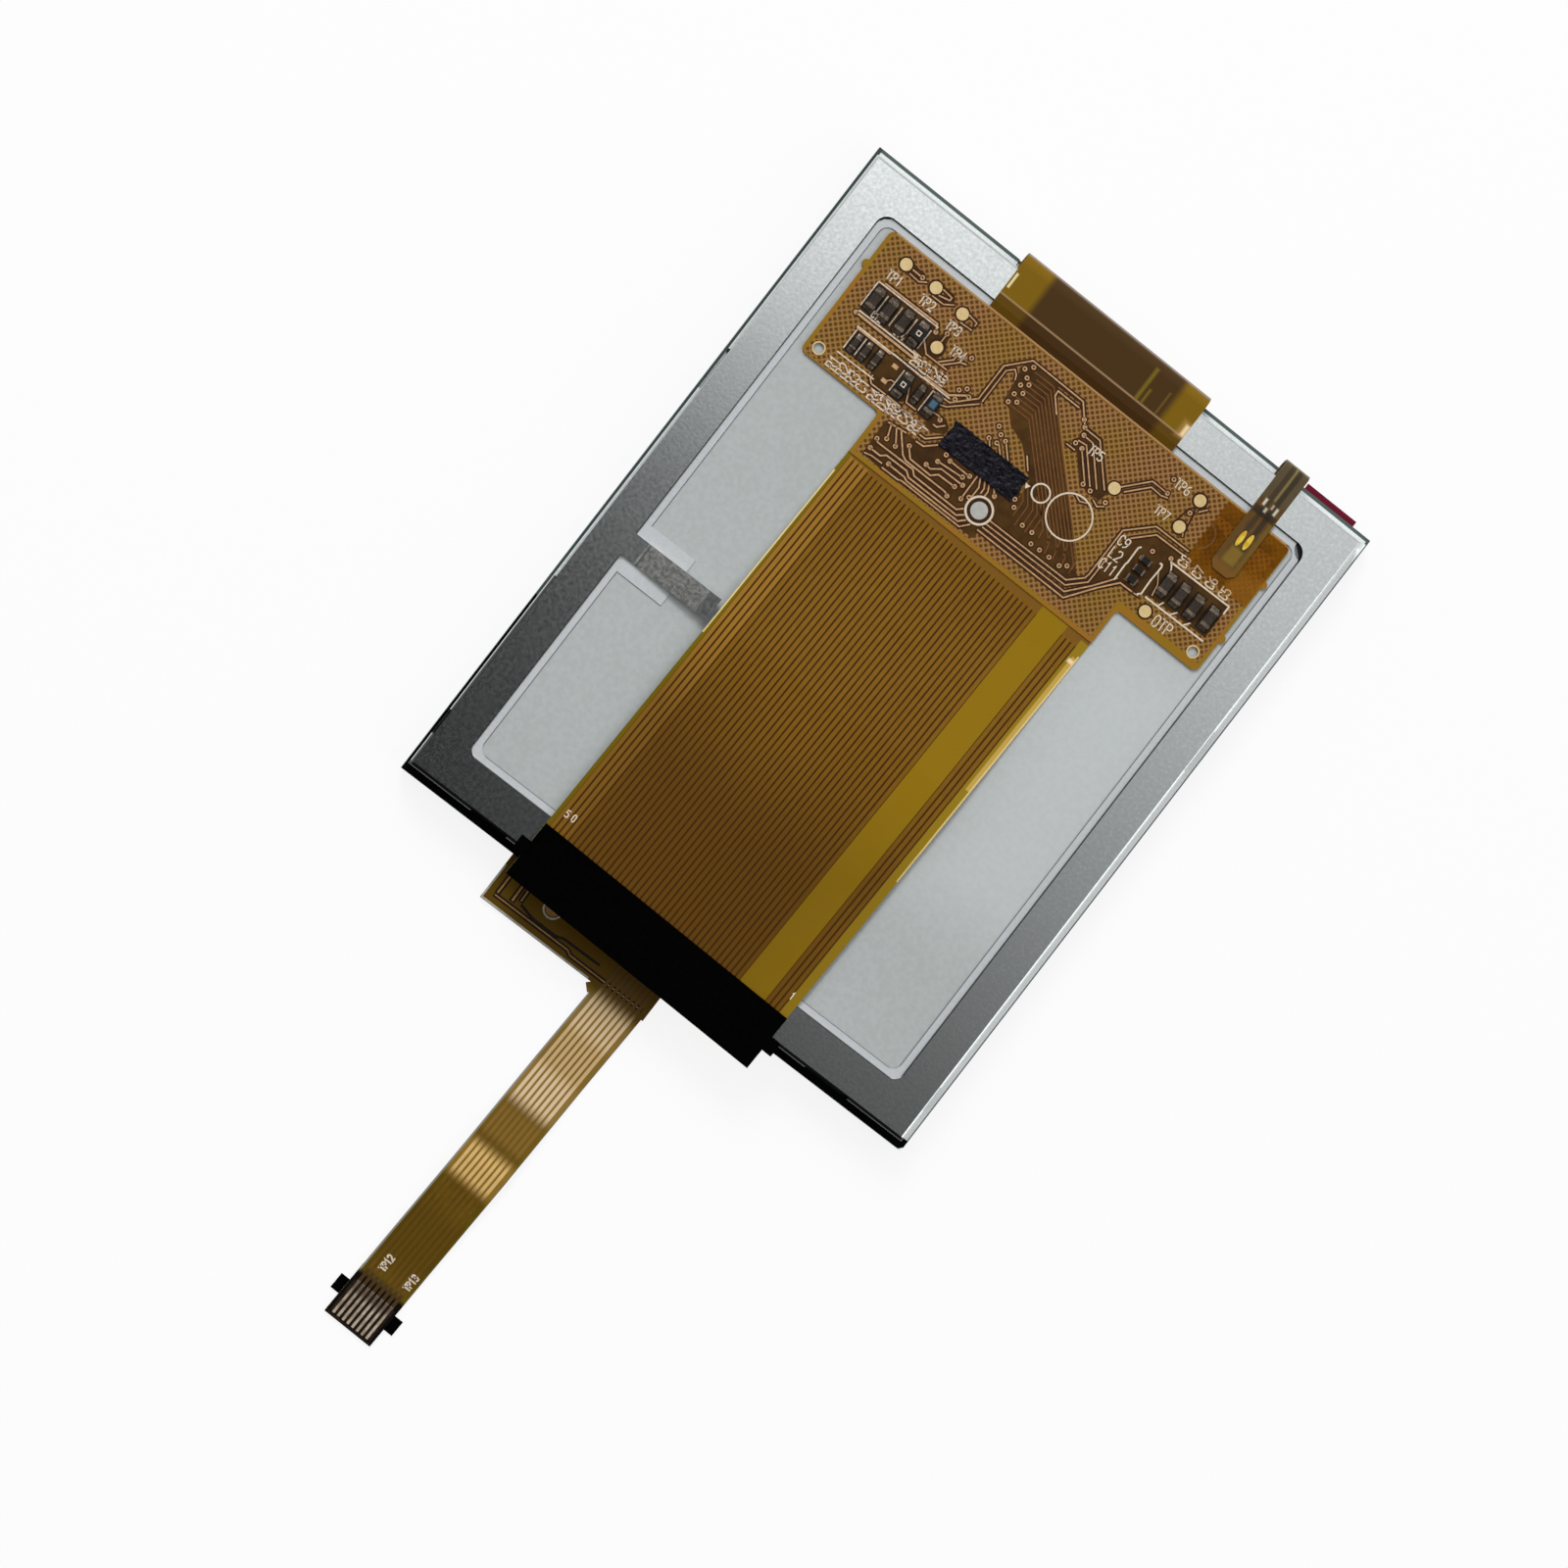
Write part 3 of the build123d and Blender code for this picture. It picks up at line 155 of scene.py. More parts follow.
VIAS = pairs(
    -13.23, 22.55, -19.35, 19.79, -8.61, 17.18, -8.4, 20.53, -7.89, 20.09, -8.87, 20.05, -16.78, 25.33,
    -12.41, 23.01, -9.63, 22.7, -10.71, 22.25, -8.67, 19.25, -5.67, 24.73, -5.15, 23.49, -5.12, 22.6,
    -5.12, 21.8, -5.18, 25.28, -5.08, 24.26, -4.61, 23.91, -4.58, 23.07, -4.53, 22.21, -4.48, 19.78,
    -3.95, 19.32, -3.32, 19.14, -4.56, 18.51, -3.8, 18.59, -11.75, 12.82, -11.73, 11.9, -9.74, 11.78,
    -4.39, 12.68, -9.3, 13.97, -4.36, 13.66, -7.29, 13.64, -3.9, 14.16, -6.7, 14.42, -4.32, 14.67,
    -5.92, 15.07, -3.9, 15.09, -6.48, 15.27, -10.18, 13.24, -11.11, 13.29, -3.35, 13.22, -2.88, 13.71,
    -1.3, 15.06, 0.53, 15.35, 0.18, 15.92, 1.96, 14.63, 2.94, 14.65, 3.45, 13.88, 4.31, 13.92,
    5.29, 13.94, 6.38, 13.91, 6.9, 14.3, 9.8, 24.06, 9.54, 25.28, 12.27, 23.95, 11.75, 19.59,
    13.33, 20.06, 0.7, 24.52, 1.12, 24.07, 1.46, 23.51, 1.3, 22.6, 1.99, 22.56, 6.22, 20.3, 4.65, 20.27,
    3.85, 20.34,
)
BARE_FIELDS = (
    pairs(-19.39, 22.85, -18.09, 22.95, -13.73, 22.99, -13.09, 23, -12.85, 22.53, -12.61, 23.01, -12.06,
     23.02, -12.02, 22.38, -11.7, 21.99, -11.62, 21.39, -11.94, 20.86, -12.85, 20.7, -12.85, 20.28,
     -19.35, 20.13),
    pairs(-18.36, 18.72, -12.06, 18.86, -10.46, 18.81, -9.39, 18.67, -9.39, 16.38, -10.46, 16.32,
     -10.66, 16.75, -11.66, 16.74, -12.05, 16.3, -13.21, 16.12, -14.75, 16.1, -15.27, 16.44, -15.35,
     16.78, -18.32, 16.73),
    pairs(11.14, 20.73, 13.85, 20.76, 13.77, 19.89, 19.53, 19.96, 19.53, 16.72, 13.69, 16.53, 13.33,
     16.24, 12.4, 16.12, 11.14, 16.1, 9.89, 14.67, 9.43, 14.18, 9.23, 14.18, 9.23, 18.99, 9.57, 19.19),
    pairs(-12.09, 14.43, -10.7, 14.65, -9.19, 14.67, -8.47, 14.84, -7.56, 15.69, -7.56, 16.4, 0.24,
     16.52, 0.56, 15.73, 0.88, 13.98, -0.24, 13.52, -0.64, 11.28, -9.98, 11.04, -11.97, 11.17),
    pairs(-5.53, 25.81, -0.28, 25.78, -0.49, 25.34, -2.69, 25.3, -2.49, 24.86, 8.28, 13.92, 7.31, 13.55,
     -0.24, 13.48, 0.08, 13.97, 0.4, 16.37, 0.24, 17.8, -2.16, 19.84, -3.77, 20.41, -4.72, 21.39, -5.48,
     21.62, -5.68, 23.13, -5.84, 24.16, -6.04, 24.64),
    pairs(1.04, 24.29, 2.93, 24.24, 5.94, 21.05, 5.7, 20.13, 4.9, 20, 3.61, 20.17, 1.76, 22.14, 1.12,
     22.33, 0.92, 22.69, 1.2, 23.09),
    pairs(-7.6, 16.48, -7.6, 17.12, -8.23, 17.55, -9.39, 17.57, -9.39, 16.22, -9.11, 15.9, -8.39, 16.03),
)
PAD_GAPS: tuple[tuple[Point, float], ...] = (
    ((-18.47, 25.34), 0.68), ((-15.41, 25.37), 0.68), ((-12.41, 25.05), 0.68),
    ((-12.41, 21.62), 0.75), ((6.09, 21.68), 0.66), ((12.32, 25.26), 0.70),
    ((12.27, 22.52), 0.70), ((14.29, 15.36), 0.68), ((-1.57, 13.38), 1.05),
)
PAD_LOOPS = (
    pairs(-18.3, 25.8, -17.5, 25.62, -16.85, 25.66, -16.6, 25.34, -16.85, 25.02, -17.5, 25.06, -18.3,
     24.9),
    pairs(-15.3, 25.85, -13.9, 25.78, -13.6, 25.4, -13.9, 24.95, -15.3, 24.85),
    pairs(-12.3, 25.5, -11.2, 25.42, -10.85, 25.0, -11.2, 24.6, -12.3, 24.55),
    pairs(11.75, 22.9, 12.0, 24.2, 12.28, 24.5, 12.56, 24.2, 12.8, 22.9),
)
LABELS: tuple[tuple[str, Point, float, float], ...] = (
    ("TP6", (9.85, 24.85), 0.8, 1.0), ("TP7", (9.8, 22.15), 0.76, 1.0),
    ("TP5", (2.5, 22.6), 0.78, 1.0), ("C9", (9.0, 18.3), 0.84, 1.0), ("L2", (9.05, 17.05), 0.9, 1.0),
    ("C11", (8.9, 15.85), 0.86, 1.0), ("OTP", (15.3, 14.8), 1.0, 1.0),
    ("C8", (14.75, 20.15), 0.8, 91.0), ("C7", (16.2, 20.15), 0.8, 91.0),
    ("C6", (17.6, 20.15), 0.8, 91.0), ("C5", (19.0, 20.15), 0.8, 91.0),
)
PRINT_LINES = lines(
    (0.14, 10.8, 19.27, 10.65, 19.1, 10.68, 17.6, 10.62, 17.4, 10.66, 15.85),
    (0.14, 12.86, 19.2, 13.05, 19.22, 13.14, 19.0, 13.08, 17.6, 13.14, 16.3, 12.9, 16.08),
    (0.14, 13.5, 19.84, 19.56, 19.94, 19.57, 19.2), (0.15, 13.6, 16.3, 19.56, 16.38),
    (0.12, 13.62, 19.8, 13.9, 19.35), (0.12, 14.85, 16.4, 15.05, 16.85),
    (0.12, 16.1, 16.45, 16.45, 16.9), (0.12, 17.5, 16.45, 17.85, 16.9),
)
WORN_LABELS: tuple[tuple[str, Point, float, float], ...] = (
    ("TP1", (-19.2, 23.45), 0.72, 1.0), ("TP2", (-15.9, 23.55), 0.72, 1.0),
    ("TP3", (-12.9, 23.3), 0.68, 1.0), ("TP4", (-11.4, 21.9), 0.7, 1.0),
    ("R1", (-17.85, 14.95), 0.82, 91.0), ("R2", (-16.85, 14.95), 0.82, 91.0),
    ("R3", (-15.85, 14.95), 0.82, 91.0), ("C1", (-14.85, 15.0), 0.8, 91.0),
    ("R4", (-13.6, 14.9), 0.8, 91.0), ("D2", (-12.6, 14.9), 0.8, 91.0),
    ("R6", (-11.65, 15.0), 0.8, 91.0), ("C4", (-10.6, 15.1), 0.8, 91.0),
    ("R5", (-9.45, 15.0), 0.8, 91.0), ("D1", (-12.6, 19.3), 0.74, 91.0),
    ("C3", (-11.75, 19.3), 0.74, 91.0), ("C2", (-10.95, 19.35), 0.74, 91.0),
    ("R8", (-10.15, 19.4), 0.74, 91.0), ("C12", (-18.2, 20.25), 0.5, 1.0),
    ("C14", (-15.9, 20.3), 0.5, 1.0),
)
WORN_LINES = lines(
    (0.12, -19.35, 22.88, -13.3, 22.95), (0.12, -19.4, 20.5, -19.4, 22.8),
    (0.13, -19.2, 20.05, -13.2, 20.1), (0.12, -18.55, 18.98, -9.1, 19.02),
    (0.12, -18.6, 16.35, -14.9, 16.4), (0.12, -13.6, 15.85, -8.9, 15.9),
    (0.1, -16.57, 20.6, -16.57, 22.4), (0.1, -15.05, 20.6, -15.05, 22.4),
    (0.1, -18.05, 20.6, -18.05, 22.4), (0.1, -13.6, 20.6, -13.6, 22.4), (0.1, -18.4, 16.9, -18.4, 18.7),
    (0.1, -17.33, 17.0, -17.33, 18.6), (0.1, -13.35, 16.5, -13.35, 18.5),
    (0.1, -10.5, 16.7, -10.5, 18.7),
)
HOLES: Path2 = ((-19.94, 15.62), (19.47, 15.2))
DIODES: Path2 = ((-14.28, 21.5), (-12.75, 17.47))
GLUE_EDGE: Path2 = ((14.1, 24.4), (14.75, 24.2), (15.1, 23.75), (15.22, 23.2), (15.08, 22.6), (14.6, 22.05))
EMPTY_PADS = lines(
    (0.34, -14.3, 18.3, -13.98, 18.3), (0.34, -14.3, 16.84, -13.98, 16.84),
    (0.28, 11.27, 18.62, 11.43, 18.62), (0.28, 11.98, 18.63, 12.14, 18.63),
    (0.28, 11.34, 16.48, 11.5, 16.48), (0.28, 11.98, 16.49, 12.14, 16.49),
)
BLOCK_LINES = lines(
    (0.16, -13.45, -33.3, -13.45, -35.2), (0.18, -12.15, -33.3, -12.1, -35.0),
    (0.14, -11.55, -33.3, -11.5, -34.6), (0.12, -13.5, -35.5, -6.0, -35.5, -5.6, -35.74, 1.8, -35.76),
)
SOLDERED_ENDS = tuple(
    (x, y, *sizes)
    for sizes, spots in (
        ((0.82, 1.6, 0.4), pairs(-18.77, 21.5, -17.35, 21.5, -15.8, 21.5, 14.31, 18.13, 15.75, 18.13,
                                 17.26, 18.13, 18.79, 18.13, -9.85, 17.72)),
        ((0.5, 1.15, 0.25), pairs(-17.87, 17.75, -16.8, 17.75, -15.71, 17.75, -11.29, 17.7)),
        ((0.85, 1.7, 0.25), DIODES),
    )
    for x, y in spots
)

GLYPHS: dict[str, tuple[tuple[float, ...], ...]] = {
    "T": ((0, 1, 0.6, 1), (0.3, 1, 0.3, 0)),
    "P": ((0, 0, 0, 1, 0.45, 1, 0.6, 0.85, 0.6, 0.65, 0.45, 0.5, 0, 0.5),),
    "O": ((0.15, 0, 0, 0.2, 0, 0.8, 0.15, 1, 0.45, 1, 0.6, 0.8, 0.6, 0.2, 0.45, 0, 0.15, 0),),
    "C": ((0.6, 0.8, 0.45, 1, 0.15, 1, 0, 0.8, 0, 0.2, 0.15, 0, 0.45, 0, 0.6, 0.2),),
    "L": ((0, 1, 0, 0, 0.55, 0),),
    "R": ((0, 0, 0, 1, 0.45, 1, 0.6, 0.85, 0.6, 0.65, 0.45, 0.5, 0, 0.5), (0.3, 0.5, 0.6, 0)),
    "D": ((0, 0, 0, 1, 0.35, 1, 0.6, 0.75, 0.6, 0.25, 0.35, 0, 0, 0),),
    "0": ((0.15, 0, 0, 0.2, 0, 0.8, 0.15, 1, 0.45, 1, 0.6, 0.8, 0.6, 0.2, 0.45, 0, 0.15, 0),),
    "1": ((0.1, 0.8, 0.3, 1, 0.3, 0),),
    "2": ((0, 0.85, 0.15, 1, 0.45, 1, 0.6, 0.85, 0.6, 0.6, 0, 0, 0.6, 0),),
    "3": ((0, 0.9, 0.15, 1, 0.45, 1, 0.6, 0.8, 0.45, 0.55, 0.2, 0.55), (0.45, 0.55, 0.6, 0.3, 0.45, 0,
     0.15, 0, 0, 0.1)),
    "4": ((0.45, 0, 0.45, 1, 0, 0.35, 0.6, 0.35),),
    "5": ((0.6, 1, 0.05, 1, 0, 0.55, 0.4, 0.6, 0.6, 0.4, 0.6, 0.15, 0.45, 0, 0.1, 0, 0, 0.12),),
    "6": ((0.5, 1, 0.15, 0.8, 0, 0.4, 0, 0.15, 0.15, 0, 0.45, 0, 0.6, 0.15, 0.6, 0.4, 0.45, 0.52, 0.1,
     0.5),),
    "7": ((0, 1, 0.6, 1, 0.2, 0),),
    "8": ((0.15, 0, 0, 0.25, 0.15, 0.52, 0.45, 0.52, 0.6, 0.78, 0.45, 1, 0.15, 1, 0, 0.78, 0.15, 0.52,
     0.45, 0.52, 0.6, 0.25, 0.45, 0, 0.15, 0),),
    "9": ((0.1, 0, 0.45, 0.2, 0.6, 0.6, 0.6, 0.85, 0.45, 1, 0.15, 1, 0, 0.85, 0, 0.6, 0.15, 0.48, 0.5,
     0.5),),
}


def mm(length: float) -> float:
    """Give a length of millimetres in metres."""
    return length * 0.001


def shade(tint: Tint) -> tuple[float, float, float, float]:
    """Give a written colour as Blender's linear colour.

    Args:
        tint: Red, green and blue from 0 to 255.

    Returns:
        Linear red, green, blue and a full alpha.
    """
    levels = [part / 255 for part in tint]
    linear = [v / 12.92 if v <= 0.04045 else ((v + 0.055) / 1.055) ** 2.4 for v in levels]
    return (linear[0], linear[1], linear[2], 1.0)


def grey(level: float) -> tuple[float, float, float, float]:
    """Give a linear grey with a full alpha."""
    return (level, level, level, 1.0)


def turned(centre: Point, across: float, along: float, angle: float) -> Point:
    """Give the place of a point of a film that leans.

    Args:
        centre: The root of the film.
        across: The distance to the right of its middle line.
        along: The distance up along its middle line.
        angle: How far it leans, in radians.

    Returns:
        The point's X and Y.
    """
    return (
        centre[0] + across * math.cos(angle) + along * math.sin(angle),
        centre[1] - across * math.sin(angle) + along * math.cos(angle),
    )


class Wiring:
    """Adds nodes to one tree and links them."""

    def __init__(self, tree: bpy.types.NodeTree) -> None:
        """Take the tree that the nodes go into."""
        self.tree = tree

    def feed(self, value: object, socket: Socket) -> None:
        """Link a socket, or write a plain value, into an input.

        Args:
            value: The socket or the value, or None to leave the input alone.
            socket: The input.
        """
        if isinstance(value, Socket):
            self.tree.links.new(value, socket)
        elif value is not None:
            socket.default_value = value

    def node(self, kind: str, *values: object, **settings: object) -> bpy.types.Node:
        """Add one node.

        Args:
            kind: Its Blender type.
            values: What goes into its inputs, from the first one on.
            settings: The properties to set on it.

        Returns:
            The new node.
        """
        made = self.tree.nodes.new(kind)
        for name, value in settings.items():
            setattr(made, name, value)
        for socket, value in zip(made.inputs, values):
            self.feed(value, socket)
        return made

    def math(self, operation: str, *values: object) -> Socket:
        """Work out one number from values or sockets."""
        return self.node("ShaderNodeMath", *values, operation=operation).outputs[0]

    def step(self, value: object, low: float, high: float) -> Socket:
        """Give a soft step that rises from 0 at low to 1 at high."""
        made = self.node("ShaderNodeMapRange", value, low, high, interpolation_type="SMOOTHSTEP")
        return made.outputs["Result"]

    def mix(self, mask: object, low: object, high: object, blend: str = "MIX") -> Socket:
        """Mix two colours.

        Args:
            mask: How much of the second one shows.
            low: The first colour or socket.
            high: The second colour or socket.
            blend: How the second one is laid over the first.

        Returns:
            The mixed colour.
        """
        made = self.node("ShaderNodeMix", mask, data_type="RGBA", blend_type=blend)
        for number, value in zip(MIX_COLOURS, (low, high)):
            self.feed(value, made.inputs[number])
        return made.outputs[MIX_RESULT]

    def place(self) -> Socket:
        """Give the surface's place in the module, in millimetres."""
        where = self.node("ShaderNodeTexCoord").outputs["Object"]
        return self.node("ShaderNodeVectorMath", where, (1000.0,) * 3, operation="MULTIPLY").outputs[0]

    def axes(self, vector: Socket) -> Sequence[Socket]:
        """Split a vector into its three numbers."""
        return self.node("ShaderNodeSeparateXYZ", vector).outputs

    def group(self, tree: bpy.types.NodeTree, *values: object) -> Sequence[Socket]:
        """Place a shader group, feed its inputs in their order and give its outputs."""
        return self.node("ShaderNodeGroup", *values, node_tree=tree).outputs


class ShaderKit:
    """The shader groups that the module's finishes share."""

    grain_rise: Span = (0.3, 0.7)
    hatch_rise: Span = (-0.3, 0.36)
    zone_rise: Span = (-0.5, 0.5)
    rim_rise: Span = (-0.05, 0.05)

    def __init__(self) -> None:
        """Build each group once."""
        self.grain = self.build_grain()
        self.hatch = self.build_hatch()
        self.zone = self.build_zone()
        self.rim = self.build_rim()
        self.lean = self.build_lean()

    @staticmethod
    def start(name: str, inputs: Sequence[str], outputs: Sequence[str]) -> tuple[Wiring, Sockets, Sockets]:
        """Start a shader group with named sockets.

        Args:
            name: The group's name.
            inputs: The names of its inputs, of which Place is a vector.
            outputs: The names of its outputs, of which Place is a vector.

        Returns:
            The wiring of the group, what comes in and what goes out.
        """
        tree = bpy.data.node_groups.new(name, "ShaderNodeTree")
        for way, labels in (("INPUT", inputs), ("OUTPUT", outputs)):
            for label in labels:
                kind = "NodeSocketVector" if label == "Place" else "NodeSocketFloat"
                tree.interface.new_socket(label, in_out=way, socket_type=kind)
        wiring = Wiring(tree)
        given = wiring.node("NodeGroupInput").outputs
        told = wiring.node("NodeGroupOutput").inputs
        return wiring, list(given)[:len(inputs)], list(told)[:len(outputs)]

    def build_grain(self) -> bpy.types.NodeTree:
        """Build fine unevenness: a mask from 0 to 1 and a height for a bump.

        Returns:
            The group.
        """
        wiring, (place, scale, detail), (mask, height) = self.start(
            "Grain", ("Place", "Scale", "Detail"), ("Mask", "Height"),
        )
        cloud = wiring.node("ShaderNodeTexNoise")
        for label, value in (("Vector", place), ("Scale", scale), ("Detail", detail)):
            wiring.feed(value, cloud.inputs[label])
        wiring.feed(wiring.step(cloud.outputs[0], *self.grain_rise), mask)
        wiring.feed(cloud.outputs[0], height)
        return wiring.tree

    def build_hatch(self) -> bpy.types.NodeTree:
        """Build cross-hatched copper: 1 on the lines, 0 in the small gaps between them.

        Returns:
            The group.
        """
        wiring, (place, pitch, cover), (mask,) = self.start("Hatch", ("Place", "Pitch", "Cover"), ("Mask",))
        x, y, _ = wiring.axes(place)
        waves = []
        for operation in ("ADD", "SUBTRACT"):
            turns = wiring.math("DIVIDE", wiring.math(operation, x, y), pitch)
            wave = wiring.math("SINE", wiring.math("MULTIPLY", turns, math.pi))
            waves.append(wiring.math("ABSOLUTE", wave))
        edge = wiring.math("SUBTRACT", wiring.math("MULTIPLY", *waves), cover)
        wiring.feed(wiring.math("SUBTRACT", 1.0, wiring.step(edge, *self.hatch_rise)), mask)
        return wiring.tree

    def build_zone(self) -> bpy.types.NodeTree:
        """Build the mask of a box in X and Y with soft edges.

        Returns:
            The group.
        """
        wiring, (place, left, right, bottom, top, soft), (mask,) = self.start(
            "Zone", ("Place", "Left", "Right", "Bottom", "Top", "Soft"), ("Mask",),
        )
        x, y, _ = wiring.axes(place)
        nearest = []
        for value, low, high in ((x, left, right), (y, bottom, top)):
            inside = wiring.math("SUBTRACT", value, low)
            nearest.append(wiring.math("MINIMUM", inside, wiring.math("SUBTRACT", high, value)))
        ratio = wiring.math("DIVIDE", wiring.math("MINIMUM", *nearest), soft)
        wiring.feed(wiring.step(ratio, *self.zone_rise), mask)
        return wiring.tree

    def build_rim(self) -> bpy.types.NodeTree:
        """Build the mask of faces that don't look straight up or down, such as cut edges.

        Returns:
            The group.
        """
        wiring, (reach,), (mask,) = self.start("Rim", ("Reach",), ("Mask",))
        facing = wiring.node("ShaderNodeNewGeometry").outputs["True Normal"]
        steep = wiring.math("SUBTRACT", reach, wiring.math("ABSOLUTE", wiring.axes(facing)[2]))
        wiring.feed(wiring.step(steep, *self.rim_rise), mask)
        return wiring.tree

    def build_lean(self) -> bpy.types.NodeTree:
        """Build the turn of a place into a leaning film's own across and along.

        Returns:
            The group.
        """
        wiring, (place, across, along, angle), (own,) = self.start(
            "Lean", ("Place", "Root X", "Root Y", "Angle"), ("Place",),
        )
        root = wiring.node("ShaderNodeCombineXYZ", across, along)
        shift = wiring.node("ShaderNodeVectorMath", place, root.outputs[0], operation="SUBTRACT")
        spin = wiring.node("ShaderNodeVectorRotate", shift.outputs[0], rotation_type="Z_AXIS")
        wiring.feed(angle, spin.inputs["Angle"])
        wiring.feed(spin.outputs[0], own)
        return wiring.tree


@dataclass(frozen=True)
class Zone:
    """A box of another colour on a finish, in millimetres."""

    left: float
    right: float
    bottom: float
    top: float
    tint: Tint
    soft: float = 0.05
    strength: float = 1.0


@dataclass
class Surface:
    """What a finish is painted on."""

    wiring: Wiring
    kit: ShaderKit
    place: Socket

    def grain(self, scale: float, detail: float) -> Sequence[Socket]:
        """Give the mask and the height of fine grain."""
        return self.wiring.group(self.kit.grain, self.place, scale, detail)

    def box(self, zone: Zone) -> Socket:
        """Give the mask of a zone, at full strength."""
        sizes = (zone.left, zone.right, zone.bottom, zone.top, zone.soft)
        return self.wiring.group(self.kit.zone, self.place, *sizes)[0]

    def overlay(self, colour: object, *zones: Zone) -> Socket:
        """Lay boxes of other colours over a colour, one after another.

        Args:
            colour: The colour so far.
            zones: The boxes.

        Returns:
            The colour with the boxes on it.
        """
        for zone in zones:
            mask = self.wiring.math("MULTIPLY", self.box(zone), zone.strength)
            colour = self.wiring.mix(mask, colour, shade(zone.tint))
        return colour


@dataclass(frozen=True)
class Finish:
    """A finish that changes a little from place to place.

    The tint and the accent are mixed by fine grain and again by slow clouds, the rim tint shows on
    cut edges, and zones repaint boxes of the surface. On some finishes the rim tint and zones are
    painted highlights and painted shade, as noted where those finishes are listed.
    """

    name: str
    tint: Tint
    accent: Tint
    roughness: float = 0.5
    roughness_spread: float = 0.08
    metallic: float = 0.0
    coat: float = 0.0
    coat_roughness: float = 0.15
    specular: float = 0.5
    transmission: float = 0.0
    ior: float = 1.45
    alpha: float = 1.0
    grain: float = 4.0
    detail: float = 2.0
    clouds: float = 0.12
    cloud_share: float = 0.3
    bump: float = 0.05
    bump_height: float = 0.02
    rim: Optional[Tint] = None
    rim_reach: float = 0.7
    zones: tuple[Zone, ...] = ()
    lean: Optional[tuple[Point, float]] = None

    def make(self, kit: ShaderKit) -> bpy.types.Material:
        """Build the material.

        Args:
            kit: The shared shader groups.

        Returns:
            The new material.
        """
        material = bpy.data.materials.new(self.name)
        material.use_nodes = True
        wiring = Wiring(material.node_tree)
        surface = Surface(wiring, kit, wiring.place())
        fine, height = surface.grain(self.grain, self.detail)
        slow, _ = surface.grain(self.clouds, 1.0)
        share = wiring.math("MULTIPLY", slow, self.cloud_share)
        blend = wiring.math("MULTIPLY", fine, 1.0 - self.cloud_share)
        colour = wiring.mix(wiring.math("ADD", share, blend), shade(self.tint), shade(self.accent))
        colour = self.paint(surface, colour)
        if self.rim is not None:
            colour = wiring.mix(wiring.group(kit.rim, self.rim_reach)[0], colour, shade(self.rim))
        wear = wiring.math("MULTIPLY", fine, self.roughness_spread)
        relief = wiring.node("ShaderNodeBump")
        wiring.feed(self.bump, relief.inputs["Strength"])
        wiring.feed(mm(self.bump_height), relief.inputs["Distance"])
        wiring.feed(height, relief.inputs["Height"])
        principled = material.node_tree.nodes["Principled BSDF"]
        for label, value in (
            ("Base Color", colour), ("Roughness", wiring.math("ADD", wear, self.roughness)),
            ("Metallic", self.metallic), ("Specular IOR Level", self.specular),
            ("Coat Weight", self.coat), ("Coat Roughness", self.coat_roughness),
            ("Transmission Weight", self.transmission), ("IOR", self.ior), ("Alpha", self.alpha),
            ("Normal", relief.outputs["Normal"]),
        ):
            wiring.feed(value, principled.inputs[label])
        return material

    def paint(self, surface: Surface, colour: Socket) -> Socket:
        """Repaint the zones over a colour.

        Args:
            surface: What the finish is painted on.
            colour: The colour so far.

        Returns:
            The colour with the zones on it.
        """
        if self.lean is not None:
            (x, y), angle = self.lean
            own = surface.wiring.group(surface.kit.lean, surface.place, x, y, angle)[0]
            surface = replace(surface, place=own)
        return surface.overlay(colour, *self.zones)


